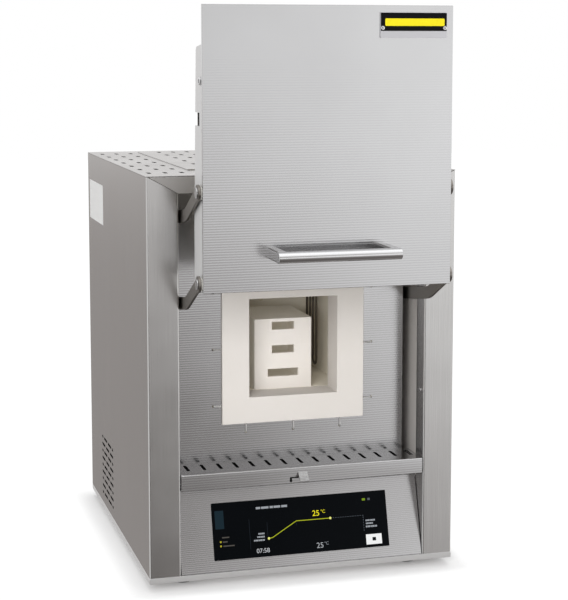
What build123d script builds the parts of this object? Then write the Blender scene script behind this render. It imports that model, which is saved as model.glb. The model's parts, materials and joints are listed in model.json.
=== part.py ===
"""Benchtop muffle furnace with a parallel swing-up door, in millimetres.

+X is the user's right, +Y goes to the back and +Z is up. The origin is the centre of the
bounding box's underside with the door open. Depths are counted back from the plane of the
columns, and heights from the underside of the base tray.
"""
import math
import os

from build123d import *

os.makedirs("parts", exist_ok=True)

# ---- driving dimensions: body -------------------------------------------------------------
body_width = 385.0
body_depth = 434.0
body_height = 490.0
foot_height = 10.0
sheet = 1.2
bend_radius = 1.6
seam = 0.3
column_width = 38.5
column_return = 25.5
rear_flange = 15.0
header_height = 21.0
header_top_flange = 15.0
base_height = 7.3
base_sheet = 1.5

# ---- driving dimensions: front recess, shelf and control panel ----------------------------
recess_depth = 50.0
arm_slot_width = 10.0
recess_return = 12.0
shelf_height = 130.7
shelf_lip = 19.7
shelf_end_gap = 0.9
shelf_slot_count = 15
shelf_slot_pitch = 20.4
shelf_slot_length = 26.0
shelf_slot_width = 4.2
shelf_slot_depth = 31.0
shelf_slot_shift = 2.8
hook_width = 11.5
hook_height = 125.0
hook_reach = 10.0
hook_drop = 8.6
hook_shift = -2.3
hook_slit_left = -18.3
hook_slit_height = 118.3
panel_slope = 15.9
display_width = 223.3
display_length = 68.0
display_rise = 53.8
glass_thickness = 3.0
glass_proud = 1.0
display_box_depth = 16.0
display_wall = 2.0
board_thickness = 1.6

# ---- driving dimensions: door and its arms ------------------------------------------------
door_side_room = 6.5
door_height = 321.5
door_reach = 99.5
door_open_height = 365.0
door_proud = 3.0
door_header_gap = 2.0
door_hem = 4.0
door_side_thickness = 1.5
door_side_top = 275.0
door_side_chamfer = 7.0
door_side_depth_low = 49.9
door_side_depth_high = 37.5
door_side_straight = 71.0
notch_height = 15.0
notch_rise = 194.0
notch_depth = 20.7
pan_depth = 37.5
pan_top = 260.0
plug_thickness = 12.0
plug_margin = 4.0
insulation_side_gap = 16.0
insulation_front_gap = 6.0
arm_pin_setback = 12.5
arm_pin_rise = 9.2
arm_spacing = 103.1
arm_pivot_depth = 98.0
arm_elbow_forward = 123.0
arm_elbow_rise = 18.4
arm_elbow_radius = 60.0
arm_width = 15.0
arm_eye = 19.0
arm_thickness = 3.0
pin_radius = 4.0
pin_head_radius = 6.5
pin_head_thickness = 1.2
running_gap = 0.05
open_pivot_gap = 0.6
side_gap = 0.12
wall_end_depth = 135.0
third_screw_rise = 237.0

# ---- driving dimensions: handle and plate -------------------------------------------------
handle_length = 144.5
handle_bar_height = 12.7
handle_bar_depth = 12.0
handle_standoff = 34.5
handle_rise = 43.0
handle_leg_width = 12.0
plate_width = 80.6
plate_height = 28.8
plate_thickness = 1.5
plate_side_margin = 8.0
plate_top_margin = 8.0

# ---- driving dimensions: muffle -----------------------------------------------------------
collar_width = 182.0
collar_height = 187.8
collar_bottom = 177.4
collar_depth = 47.0
neck_width = 113.0
neck_height = 122.2
neck_end = 88.0
chamber_half_width = 75.0
chamber_height = 135.0
chamber_end = 228.0
casing_side_gap = 2.0
casing_end = 286.0
casing_bottom = 134.0
casing_top = 408.0
clip_wire = 1.2
clip_reach = 11.0
element_leg_radius = 1.5
element_terminal_radius = 3.0
element_pitch = 15.0
element_first_depth = 168.0
element_spacing = 28.0
element_offset = 66.0
element_bottom_gap = 11.0
element_terminal_height = 436.0
element_hole_gap = 1.0

# ---- driving dimensions: sagger stack -----------------------------------------------------
sagger_width = 75.0
sagger_depth = 98.0
sagger_wall = 5.0
sagger_floor = 5.0
sagger_base_height = 25.3
sagger_height = 29.9
sagger_lid_thickness = 4.0
sagger_slot_width = 29.0
sagger_base_slot_width = 40.0
sagger_slot_height = 10.0
sagger_front = 88.5
sagger_shift = -2.0

# ---- driving dimensions: top, vents, rear -------------------------------------------------
top_slot_margin = 8.0
top_slot_pitch_x = 20.04
top_slot_rows = 7
top_slot_pitch_y = 56.2
top_slot_first_depth = 46.0
top_slot_length = 17.0
top_slot_width = 5.0
top_plate_margin = 66.5
top_plate_front = 78.0
top_plate_end = 407.0
top_plate_thickness = 1.3
top_plate_lap = 2.5
vent_rows = 9
vent_row_pitch = 9.85
vent_slot_length = 25.0
vent_slot_gap = 6.4
vent_slot_height = 3.6
vent_centre_depth = 296.5
vent_centre_height = 61.6
fan_size = 80.0
fan_depth = 25.0
fan_bore = 37.5
fan_hub = 16.0
fan_shaft = 1.6
fan_inset = 87.5
fan_centre_height = 410.0
guard_depth = 6.0
guard_wire = 1.4
guard_ring_first = 10.0
guard_ring_pitch = 8.0
inlet_inset = 52.5
switch_spacing = 50.0
socket_height = 52.0

# ---- places worked out from the driving dimensions ----------------------------------------
handle_front = door_reach + handle_standoff + handle_bar_depth
front_y = (handle_front - body_depth - guard_depth) / 2
half_width = body_width / 2
wall_half = half_width - column_width
door_half = wall_half - door_side_room
recess_half_width = wall_half - arm_slot_width
casing_half_width = recess_half_width - casing_side_gap
top_plate_half_width = half_width - top_plate_margin
fan_centre_x = half_width - fan_inset
inlet_centre_x = inlet_inset - half_width
switch_centre_x = inlet_centre_x + switch_spacing
recess_top = body_height - header_height
roof_height = body_height - sheet
neck_bottom = collar_bottom + (collar_height - neck_height) / 2
collar_centre = collar_bottom + collar_height / 2
chamber_top = neck_bottom + chamber_height


def depth(distance):
    """World Y of a distance behind the plane of the columns."""
    return front_y + distance


def height(rise):
    """World Z of a rise above the underside of the base tray."""
    return foot_height + rise


def across(distance):
    """Plane facing the user at a depth, with X to the right and Z up."""
    return Plane.XZ.offset(-depth(distance))


def beside(x):
    """Plane facing +X at x, with its own x along world Y and its own y along world Z."""
    return Plane.YZ.offset(x)


def block(x_range, depth_range, height_range, mode=Mode.ADD):
    """Cuboid between two x values, two depths and two heights."""
    x_low, x_high = x_range
    y_low, y_high = depth_range
    z_low, z_high = height_range
    middle = ((x_low + x_high) / 2, depth((y_low + y_high) / 2), height((z_low + z_high) / 2))
    with Locations(middle):
        Box(x_high - x_low, y_high - y_low, z_high - z_low, mode=mode)


# The door closes by moving in and down, so each arm's wall pivot lies on the line that
# halves the pin's two places at right angles.
close_in = door_reach - door_proud
close_down = door_open_height + door_height - (recess_top - door_header_gap)
pin_depth = arm_pin_setback - door_reach
pin_height = door_open_height + arm_pin_rise
middle_depth = pin_depth + close_in / 2
middle_height = pin_height - close_down / 2
pivot_height = middle_height + (arm_pivot_depth - middle_depth) * close_in / close_down
arm_length = math.hypot(arm_pivot_depth - pin_depth, pin_height - pivot_height)
door_travel = math.hypot(close_in, close_down)
door_swing_degrees = math.degrees(2 * math.asin(door_travel / 2 / arm_length))
print("wall pivot height", round(pivot_height, 4), "arm length", round(arm_length, 4))
print("door swing degrees", round(door_swing_degrees, 4), "front_y", round(front_y, 4))

door_side_outer = door_half - sheet
door_side_inner = door_side_outer - door_side_thickness
arm_inner = (door_side_outer + wall_half - arm_thickness) / 2
arm_outer = arm_inner + arm_thickness
door_front = -door_reach
door_skin_back = door_front + sheet
door_top = door_open_height + door_height
sides = ((-1, "left"), (1, "right"))

# ---- base ---------------------------------------------------------------------------------
foot_x = half_width - 47.5
foot_depths = (40.0, body_depth - 26.0)
foot_radius = 15.0
foot_spots = [(sx * foot_x, depth(d)) for sx in (-1, 1) for d in foot_depths]
screw_radius = 2.5
screw_hole = 2.7
screw_head_radius = 4.6
foot_recess_radius = 6.0
foot_recess = 5.0
tray_vent_pitch_x = 14.0
tray_vent_pitch_y = 34.0
tray_vent_length = 26.0
tray_vent_width = 4.0

with BuildPart() as base_tray:
    block((-half_width, half_width), (0, body_depth), (0, base_height))
    block((base_sheet - half_width, half_width - base_sheet),
          (base_sheet, body_depth - base_sheet), (base_sheet, base_height + 1), Mode.SUBTRACT)
    with BuildSketch(Plane.XY.offset(height(0))):
        with Locations(*foot_spots):
            Circle(screw_hole)
        with Locations((0, depth(body_depth * 0.62))):
            with GridLocations(tray_vent_pitch_x, tray_vent_pitch_y, 9, 3):
                SlotOverall(tray_vent_length, tray_vent_width, rotation=90)
    extrude(amount=base_sheet, mode=Mode.SUBTRACT)
base_tray.part.label = "base_tray"
export_step(base_tray.part, "parts/base_tray.step")

with BuildPart() as rubber_feet:
    with BuildSketch(Plane.XY):
        with Locations(*foot_spots):
            Circle(foot_radius)
    extrude(amount=foot_height, taper=3)
    with BuildSketch(Plane.XY):
        with Locations(*foot_spots):
            Circle(foot_recess_radius)
    extrude(amount=foot_recess, mode=Mode.SUBTRACT)
    with BuildSketch(Plane.XY):
        with Locations(*foot_spots):
            Circle(screw_hole)
    extrude(amount=foot_height, mode=Mode.SUBTRACT)
rubber_feet.part.label = "rubber_feet"
export_step(rubber_feet.part, "parts/rubber_feet.step")

# ---- side panels, each folded round its column --------------------------------------------
rear_face = body_depth - sheet
rear_screw_x = half_width - rear_flange / 2
rear_screw_heights = (30.0, 160.0, 300.0, roof_height - 24.0)
rear_screw_hole = 2.1
wall_screw_depth = 10.7
wall_screw_height = 214.7
vent_step = vent_slot_length + vent_slot_gap
vent_half = vent_step + vent_slot_length / 2
vent_stub = vent_half - vent_step / 2 - vent_slot_length / 2 - vent_slot_gap
mitre_rise = roof_height - recess_top
mitre_run = mitre_rise * column_width / header_height

for side, word in sides:
    with BuildPart() as side_panel:
        with BuildSketch(Plane.XY.offset(height(base_height))):
            with BuildLine():
                FilletPolyline(
                    (side * (half_width - rear_flange), depth(rear_face - sheet / 2)),
                    (side * (half_width - sheet / 2), depth(rear_face - sheet / 2)),
                    (side * (half_width - sheet / 2), depth(sheet / 2)),
                    (side * (wall_half + sheet / 2), depth(sheet / 2)),
                    (side * (wall_half + sheet / 2), depth(column_return)),
                    radius=bend_radius)
            trace(line_width=sheet)
        extrude(amount=roof_height - base_height)
        # the column's face stops at the mitre with the header
        with BuildSketch(across(-1)):
            with BuildLine():
                Polyline(
                    (side * (wall_half - 1), height(recess_top - seam)),
                    (side * wall_half, height(recess_top - seam)),
                    (side * (wall_half + mitre_run), height(roof_height - seam)),
                    (side * (wall_half + mitre_run), height(roof_height + 1)),
                    (side * (wall_half - 1), height(roof_height + 1)),
                    close=True)
            make_face()
        extrude(amount=-column_return - 2, mode=Mode.SUBTRACT)
        # staggered vent slots: long rows of three, short rows of two with a stub at each end
        with BuildSketch(beside(side * (half_width - 2 * sheet))):
            for row in range(vent_rows):
                rise = height(vent_centre_height + (row - (vent_rows - 1) / 2) * vent_row_pitch)
                if row % 2:
                    full_slots = (-vent_step, 0, vent_step)
                else:
                    full_slots = (-vent_step / 2, vent_step / 2)
                    stub_shift = vent_half - vent_stub / 2
                    with Locations((depth(vent_centre_depth - stub_shift), rise),
                                   (depth(vent_centre_depth + stub_shift), rise)):
                        SlotOverall(vent_stub, vent_slot_height)
                with Locations(*[(depth(vent_centre_depth + s), rise) for s in full_slots]):
                    SlotOverall(vent_slot_length, vent_slot_height)
        extrude(amount=side * 4 * sheet, both=True, mode=Mode.SUBTRACT)
        with BuildSketch(across(rear_face)):
            with Locations(*[(side * rear_screw_x, height(z)) for z in rear_screw_heights]):
                Circle(rear_screw_hole)
        extrude(amount=2 * sheet, mode=Mode.SUBTRACT)
        with BuildSketch(beside(side * wall_half)):
            with Locations((depth(wall_screw_depth), height(wall_screw_height))):
                Circle(rear_screw_hole)
        extrude(amount=side * 2 * sheet, mode=Mode.SUBTRACT)
    side_panel.part.label = f"{word}_side_panel"
    export_step(side_panel.part, f"parts/{word}_side_panel.step")

# ---- header over the door opening, folded back as the roof of the recess ------------------
header_run = wall_half + mitre_run - seam
with BuildPart() as front_header:
    with BuildSketch(across(0)):
        with BuildLine():
            Polyline(
                (-wall_half, height(recess_top)), (wall_half, height(recess_top)),
                (header_run, height(roof_height)), (-header_run, height(roof_height)),
                close=True)
        make_face()
    extrude(amount=-sheet)
    block((-wall_half, wall_half), (0, recess_depth + sheet), (recess_top, recess_top + sheet))
    block((-wall_half, wall_half), (0, header_top_flange), (roof_height - sheet, roof_height))
front_header.part.label = "front_header"
export_step(front_header.part, "parts/front_header.step")

# ---- roof: slotted cover and the raised plate over the element terminals ------------------
row_middle = top_slot_first_depth + (top_slot_rows - 1) * top_slot_pitch_y / 2
opening_half = top_plate_half_width - top_plate_lap
opening_front = top_plate_front + top_plate_lap
opening_end = top_plate_end - top_plate_lap
top_slot_columns = 2 * int((half_width - top_slot_margin) / top_slot_pitch_x) + 1

with BuildPart() as top_cover:
    block((-half_width, half_width), (0, body_depth), (roof_height, body_height))
    with BuildSketch(Plane.XY.offset(height(roof_height))):
        with Locations((0, depth(row_middle))):
            with GridLocations(top_slot_pitch_x, top_slot_pitch_y, top_slot_columns, top_slot_rows):
                SlotOverall(top_slot_length, top_slot_width, rotation=90)
        with Locations((0, depth((top_plate_front + top_plate_end) / 2))):
            Rectangle(2 * opening_half, opening_end - opening_front)
    extrude(amount=sheet, mode=Mode.SUBTRACT)
top_cover.part.label = "top_cover"
export_step(top_cover.part, "parts/top_cover.step")

plate_rows = top_slot_rows - 1
plate_columns = 2 * int((opening_half - top_slot_width) / top_slot_pitch_x) + 1
with BuildPart() as top_plate:
    block((-top_plate_half_width, top_plate_half_width), (top_plate_front, top_plate_end),
          (body_height, body_height + top_plate_thickness))
    with BuildSketch(Plane.XY.offset(height(body_height))):
        with Locations((0, depth(row_middle + top_slot_pitch_y / 2))):
            with GridLocations(top_slot_pitch_x, top_slot_pitch_y, plate_columns, plate_rows):
                SlotOverall(top_slot_length, top_slot_width, rotation=90)
    extrude(amount=top_plate_thickness, mode=Mode.SUBTRACT)
top_plate.part.label = "top_plate"
export_step(top_plate.part, "parts/top_plate.step")

# ---- rear panel ---------------------------------------------------------------------------
fan_spot = (fan_centre_x, height(fan_centre_height))
fan_screw_pitch = 71.5
inlet_width = 30.0
inlet_height = 24.0
inlet_flange_width = 48.0
inlet_flange_height = 30.0
switch_width = 22.0
switch_height = 28.0
rear_vent_x = half_width - 122.5
rear_vent_height = 110.0
rear_vent_pitch_x = 32.0
rear_vent_pitch_z = 12.0
rear_vent_length = 24.0
rear_vent_width = 4.0

with BuildPart() as rear_panel:
    block((-half_width, half_width), (rear_face, body_depth), (base_height, roof_height))
    with BuildSketch(across(body_depth)):
        with Locations(fan_spot):
            Circle(fan_bore)
            with GridLocations(fan_screw_pitch, fan_screw_pitch, 2, 2):
                Circle(screw_hole)
        with Locations((inlet_centre_x, height(socket_height))):
            Rectangle(inlet_width + 2 * seam, inlet_height + 2 * seam)
        with Locations((switch_centre_x, height(socket_height))):
            Rectangle(switch_width + 2 * seam, switch_height + 2 * seam)
        with Locations((rear_vent_x, height(rear_vent_height))):
            with GridLocations(rear_vent_pitch_x, rear_vent_pitch_z, 5, 8):
                SlotOverall(rear_vent_length, rear_vent_width)
        for rise in rear_screw_heights:
            with Locations((-rear_screw_x, height(rise)), (rear_screw_x, height(rise))):
                Circle(rear_screw_hole)
    extrude(amount=sheet, mode=Mode.SUBTRACT)
rear_panel.part.label = "rear_panel"
export_step(rear_panel.part, "parts/rear_panel.step")

# ---- case screws: foot bolts, rear panel screws, wall screws ------------------------------
small_screw = rear_screw_hole - running_gap
small_head = 3.8
wall_head = 3.0
with BuildPart() as case_screws:
    # foot bolts: head in the foot's recess, nut on the tray's floor
    with BuildSketch(Plane.XY.offset(foot_recess - 3.0)):
        with Locations(*foot_spots):
            Circle(screw_head_radius)
    extrude(amount=3.0)
    with BuildSketch(Plane.XY.offset(foot_recess)):
        with Locations(*foot_spots):
            Circle(screw_radius)
    extrude(amount=foot_height - foot_recess + base_sheet + 7.0)
    with BuildSketch(Plane.XY.offset(height(base_sheet))):
        with Locations(*foot_spots):
            RegularPolygon(screw_head_radius, 6)
    extrude(amount=4.0)
    # rear panel screws, pan heads on the outside
    for rise in rear_screw_heights:
        with BuildSketch(across(body_depth)):
            with Locations((-rear_screw_x, height(rise)), (rear_screw_x, height(rise))):
                Circle(small_head)
        extrude(amount=-2.0)
        with BuildSketch(across(body_depth)):
            with Locations((-rear_screw_x, height(rise)), (rear_screw_x, height(rise))):
                Circle(small_screw)
        extrude(amount=9.0)
    # one screw in each column's return, its head in the recess
    for side, word in sides:
        with BuildSketch(beside(side * wall_half)):
            with Locations((depth(wall_screw_depth), height(wall_screw_height))):
                Circle(wall_head)
        extrude(amount=-side * 1.6)
        with BuildSketch(beside(side * wall_half)):
            with Locations((depth(wall_screw_depth), height(wall_screw_height))):
                Circle(small_screw)
        extrude(amount=side * 8.0)
case_screws.part.label = "case_screws"
export_step(case_screws.part, "parts/case_screws.step")

# ---- inner walls that carry the arm pivots ------------------------------------------------
wall_foot = 14.0
wall_foot_front = foot_depths[0] + foot_radius
wall_front = column_return + seam
pivot_heights = (pivot_height, pivot_height + arm_spacing)
for side, word in sides:
    with BuildPart() as arm_wall:
        block(sorted((side * wall_half, side * (wall_half + sheet))),
              (wall_front, wall_end_depth), (base_sheet, recess_top - seam))
        block(sorted((side * wall_half, side * (wall_half + wall_foot))),
              (wall_foot_front, wall_end_depth), (base_sheet, base_sheet + sheet))
        block(sorted((side * wall_half, side * (wall_half + wall_foot))),
              (wall_end_depth - sheet, wall_end_depth), (base_sheet, recess_top - seam))
        with BuildSketch(beside(side * wall_half)):
            with Locations(*[(depth(arm_pivot_depth), height(z)) for z in pivot_heights]):
                Circle(pin_radius + running_gap)
        extrude(amount=side * 2 * sheet, mode=Mode.SUBTRACT)
    arm_wall.part.label = f"{word}_arm_wall"
    export_step(arm_wall.part, f"parts/{word}_arm_wall.step")

# ---- recess panel: the front of the muffle casing -----------------------------------------
collar_gap = 0.3
clip_rows = (collar_bottom + 0.125 * collar_height, collar_centre,
             collar_bottom + 0.875 * collar_height)
clip_columns = (-collar_width / 3, 0, collar_width / 3)
clip_hole = 1.6
clip_side_x = collar_width / 2 + clip_reach
clip_spots = [(s * clip_side_x, height(z)) for s in (-1, 1) for z in clip_rows]
clip_spots += [(x, height(collar_bottom - clip_reach)) for x in clip_columns]
clip_spots += [(x, height(collar_bottom + collar_height + clip_reach)) for x in clip_columns]

with BuildPart() as recess_panel:
    block((-recess_half_width, recess_half_width), (recess_depth, recess_depth + sheet),
          (shelf_height - shelf_lip, recess_top - seam))
    for side, word in sides:
        block(sorted((side * recess_half_width, side * (recess_half_width - sheet))),
              (recess_depth, recess_depth + recess_return),
              (casing_bottom, recess_top - seam))
    with BuildSketch(across(recess_depth)):
        with Locations((0, height(collar_centre))):
            Rectangle(collar_width + 2 * collar_gap, collar_height + 2 * collar_gap)
        with Locations(*clip_spots):
            Circle(clip_hole)
    extrude(amount=-sheet, mode=Mode.SUBTRACT)
recess_panel.part.label = "recess_panel"
export_step(recess_panel.part, "parts/recess_panel.step")

# ---- shelf with its slots, front lip and bent-out hook ------------------------------------
shelf_half = wall_half - shelf_end_gap
lip_bottom = shelf_height - shelf_lip
hook_side = hook_width / 2
with BuildPart() as shelf:
    block((-shelf_half, shelf_half), (0, recess_depth - seam),
          (shelf_height - sheet, shelf_height))
    block((-shelf_half, shelf_half), (0, sheet), (lip_bottom, shelf_height))
    block((-shelf_half, shelf_half), (0, 12.0), (lip_bottom, lip_bottom + sheet))
    with BuildSketch(Plane.XY.offset(height(shelf_height))):
        with Locations((shelf_slot_shift, depth(shelf_slot_depth))):
            with GridLocations(shelf_slot_pitch, 1.0, shelf_slot_count, 1):
                SlotOverall(shelf_slot_length, shelf_slot_width, rotation=90)
    extrude(amount=-2 * sheet, mode=Mode.SUBTRACT)
    # slit beside the hook with its round end, the short slot below, then the hook itself
    block((hook_slit_left, hook_shift - hook_side + 1.0), (-1, sheet + 0.01),
          (hook_slit_height - 0.7, hook_slit_height + 0.7), Mode.SUBTRACT)
    block((hook_slit_left, hook_slit_left + 2.6), (-1, sheet + 0.01),
          (hook_slit_height - 3.6, hook_slit_height), Mode.SUBTRACT)
    block((hook_shift + hook_side - 2.5, hook_shift + hook_side + 3.0), (-1, sheet + 0.01),
          (hook_slit_height - 6.4, hook_slit_height - 5.1), Mode.SUBTRACT)
    with BuildSketch(across(-1)):
        with Locations((hook_slit_left + 1.3, height(hook_slit_height - 3.8))):
            Circle(1.8)
    extrude(amount=-(sheet + 1.01), mode=Mode.SUBTRACT)
    with BuildSketch(beside(hook_shift - hook_side)):
        with BuildLine():
            Polyline(
                (depth(sheet), height(hook_height)), (depth(0), height(hook_height)),
                (depth(-hook_reach), height(hook_height - hook_drop)),
                (depth(-hook_reach), height(hook_height - hook_drop - 1.2)),
                (depth(0), height(hook_height - 2.2)), (depth(sheet), height(hook_height - 2.2)),
                close=True)
        make_face()
    extrude(amount=hook_width)
shelf.part.label = "shelf"
export_step(shelf.part, "parts/shelf.step")

# ---- slanted control panel and the display behind it --------------------------------------
slope = math.tan(math.radians(panel_slope))
panel_low = base_height + seam
panel_high = lip_bottom - seam
panel_half = wall_half - 2 * seam
panel_skin = sheet / math.cos(math.radians(panel_slope))
panel_front_low = seam
panel_front_high = panel_front_low + (panel_high - panel_low) * slope
display_depth = panel_front_low + (display_rise - panel_low) * slope
panel_normal = (0, -math.cos(math.radians(panel_slope)), math.sin(math.radians(panel_slope)))
panel_face = Plane(origin=(0, depth(display_depth), height(display_rise)),
                   x_dir=(1, 0, 0), z_dir=panel_normal)
glass_gap = 0.3

with BuildPart() as control_panel:
    with BuildSketch(beside(-panel_half)):
        with BuildLine():
            Polyline(
                (depth(panel_front_low), height(panel_low)),
                (depth(panel_front_high), height(panel_high)),
                (depth(panel_front_high + panel_skin), height(panel_high)),
                (depth(panel_front_low + panel_skin), height(panel_low)),
                close=True)
        make_face()
    extrude(amount=2 * panel_half)
    with BuildSketch(panel_face):
        Rectangle(display_width + 2 * glass_gap, display_length + 2 * glass_gap)
    extrude(amount=3 * sheet, both=True, mode=Mode.SUBTRACT)
control_panel.part.label = "control_panel"
export_step(control_panel.part, "parts/control_panel.step")

with BuildPart() as display_glass:
    with BuildSketch(panel_face.offset(glass_proud)):
        RectangleRounded(display_width, display_length, 1.5)
    extrude(amount=-glass_thickness)
display_glass.part.label = "display_glass"
export_step(display_glass.part, "parts/display_glass.step")

box_front = panel_face.offset(-sheet)
box_margin = 4.0
with BuildPart() as display_frame:
    with BuildSketch(box_front):
        Rectangle(display_width + 2 * box_margin, display_length + 2 * box_margin)
    extrude(amount=-display_box_depth)
    with BuildSketch(box_front):
        Rectangle(display_width + 2 * glass_gap, display_length + 2 * glass_gap)
    extrude(amount=sheet + glass_proud - glass_thickness, mode=Mode.SUBTRACT)
    with BuildSketch(box_front):
        Rectangle(display_width - 2 * box_margin, display_length - 2 * box_margin)
    extrude(amount=display_wall - display_box_depth, mode=Mode.SUBTRACT)
display_frame.part.label = "display_frame"
export_step(display_frame.part, "parts/display_frame.step")

with BuildPart() as display_board:
    with BuildSketch(panel_face.offset(display_wall - sheet - display_box_depth)):
        Rectangle(display_width - 3 * box_margin, display_length - 3 * box_margin)
    extrude(amount=board_thickness)
    with BuildSketch(panel_face.offset(display_wall - sheet - display_box_depth)):
        with Locations((-50.0, 4.0), (10.0, -6.0)):
            Rectangle(22.0, 22.0)
        with Locations((70.0, 5.0)):
            Rectangle(34.0, 14.0)
    extrude(amount=board_thickness + 3.0)
display_board.part.label = "display_board"
export_step(display_board.part, "parts/display_board.step")

# ---- door ---------------------------------------------------------------------------------
plug_width = collar_width + 2 * plug_margin
plug_height = collar_height + 2 * plug_margin
plug_centre = collar_centre + close_down
pan_back = door_front + pan_depth
plug_face = pan_back + plug_thickness
handle_centre = door_open_height + handle_rise
handle_leg_x = handle_length / 2 - handle_leg_width / 2
handle_screw_radius = 2.5
handle_screw_reach = 16.0
plate_x = door_half - plate_side_margin - plate_width / 2
plate_rise = door_top - plate_top_margin - plate_height / 2
plate_screw_x = plate_width / 2 - 2.7
plate_screw_drop = 3.4
plate_screw_radius = 1.2

with BuildPart() as door_skin:
    block((-door_half, door_half), (door_front, door_front + door_hem),
          (door_open_height, door_top))
    fillet(door_skin.edges().filter_by(Axis.Y), 1.0)
    fillet(door_skin.faces().sort_by(Axis.Y)[0].edges(), 0.6)
    block((sheet - door_half, door_half - sheet), (door_skin_back, door_front + door_hem + 1),
          (door_open_height + sheet, door_top - sheet), Mode.SUBTRACT)
    with BuildSketch(across(door_front)):
        with Locations((-handle_leg_x, height(handle_centre)),
                       (handle_leg_x, height(handle_centre))):
            Circle(handle_screw_radius + running_gap)
        with Locations((plate_x - plate_screw_x, height(plate_rise - plate_screw_drop)),
                       (plate_x + plate_screw_x, height(plate_rise - plate_screw_drop))):
            Circle(plate_screw_radius + running_gap)
    extrude(amount=-sheet, mode=Mode.SUBTRACT)
door_skin.part.label = "door_skin"
export_step(door_skin.part, "parts/door_skin.step")

side_low = door_open_height + sheet
side_top = door_open_height + door_side_top
side_rear_low = door_front + door_side_depth_low
side_rear_high = door_front + door_side_depth_high
notch_middle = door_open_height + notch_rise
pin_heights = (pin_height, pin_height + arm_spacing)
third_screw_height = door_open_height + third_screw_rise
for side, word in sides:
    with BuildPart() as door_side:
        with BuildSketch(beside(side * door_side_inner)):
            with BuildLine():
                Polyline(
                    (depth(door_skin_back), height(side_low)),
                    (depth(door_skin_back), height(side_top + door_side_chamfer / 2)),
                    (depth(side_rear_high - door_side_chamfer / 2),
                     height(side_top)),
                    (depth(side_rear_high), height(side_top - door_side_chamfer / 2)),
                    (depth(side_rear_low), height(door_open_height + door_side_straight)),
                    (depth(side_rear_low), height(side_low + 6.0)),
                    (depth(side_rear_low - 6.0), height(side_low)),
                    close=True)
            make_face()
            with Locations((depth(door_front + notch_depth + 30.0), height(notch_middle))):
                Rectangle(60.0, notch_height, mode=Mode.SUBTRACT)
            with Locations(*[(depth(pin_depth), height(z)) for z in pin_heights]):
                Circle(pin_radius + running_gap, mode=Mode.SUBTRACT)
            with Locations((depth(pin_depth), height(third_screw_height))):
                Circle(screw_hole, mode=Mode.SUBTRACT)
        extrude(amount=side * door_side_thickness)
    door_side.part.label = f"{word}_door_side"
    export_step(door_side.part, f"parts/{word}_door_side.step")

pan_half = door_side_inner
pan_low = side_low
pan_high = door_open_height + pan_top
with BuildPart() as door_inner_pan:
    block((-pan_half, pan_half), (pan_back - sheet, pan_back), (pan_low, pan_high))
    block((-pan_half, pan_half), (door_skin_back, pan_back), (pan_low, pan_low + sheet))
    block((-pan_half, pan_half), (door_skin_back, pan_back), (pan_high - sheet, pan_high))
door_inner_pan.part.label = "door_inner_pan"
export_step(door_inner_pan.part, "parts/door_inner_pan.step")

with BuildPart() as door_insulation:
    block((insulation_side_gap - pan_half, pan_half - insulation_side_gap),
          (door_skin_back + insulation_front_gap, pan_back - sheet),
          (pan_low + sheet, pan_high - sheet))
door_insulation.part.label = "door_insulation"
export_step(door_insulation.part, "parts/door_insulation.step")

with BuildPart() as door_plug:
    block((-plug_width / 2, plug_width / 2), (pan_back, plug_face),
          (plug_centre - plug_height / 2, plug_centre + plug_height / 2))
    chamfer(door_plug.faces().sort_by(Axis.Y)[-1].edges(), 3.0)
door_plug.part.label = "door_plug"
export_step(door_plug.part, "parts/door_plug.step")

# ---- handle: a half-round bar on two legs -------------------------------------------------
bar_back = door_front - handle_standoff
bar_front = bar_back - handle_bar_depth
bar_flat = handle_bar_depth - handle_bar_height / 2
with BuildPart() as handle_bar:
    with BuildSketch(beside(-handle_length / 2)):
        with BuildLine():
            back_top = (depth(bar_back), height(handle_centre + handle_bar_height / 2))
            front_top = (depth(bar_back - bar_flat), height(handle_centre + handle_bar_height / 2))
            nose = (depth(bar_front), height(handle_centre))
            front_low = (depth(bar_back - bar_flat), height(handle_centre - handle_bar_height / 2))
            back_low = (depth(bar_back), height(handle_centre - handle_bar_height / 2))
            Line(back_low, back_top)
            Line(back_top, front_top)
            ThreePointArc(front_top, nose, front_low)
            Line(front_low, back_low)
        make_face()
    extrude(amount=handle_length)
handle_bar.part.label = "handle_bar"
export_step(handle_bar.part, "parts/handle_bar.step")

with BuildPart() as handle_legs:
    with BuildSketch(across(door_front)):
        with Locations((-handle_leg_x, height(handle_centre)),
                       (handle_leg_x, height(handle_centre))):
            RectangleRounded(handle_leg_width, handle_bar_height, 2.0)
    extrude(amount=handle_standoff)
    with BuildSketch(across(door_front)):
        with Locations((-handle_leg_x, height(handle_centre)),
                       (handle_leg_x, height(handle_centre))):
            Circle(handle_screw_radius + running_gap)
    extrude(amount=handle_screw_reach + 4.0, mode=Mode.SUBTRACT)
handle_legs.part.label = "handle_legs"
export_step(handle_legs.part, "parts/handle_legs.step")

with BuildPart() as nameplate:
    with BuildSketch(across(door_front)):
        with Locations((plate_x, height(plate_rise))):
            RectangleRounded(plate_width, plate_height, 1.0)
        with Locations((plate_x - plate_screw_x, height(plate_rise - plate_screw_drop)),
                       (plate_x + plate_screw_x, height(plate_rise - plate_screw_drop))):
            Circle(plate_screw_radius + running_gap, mode=Mode.SUBTRACT)
    extrude(amount=plate_thickness)
nameplate.part.label = "nameplate"
export_step(nameplate.part, "parts/nameplate.step")

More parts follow.
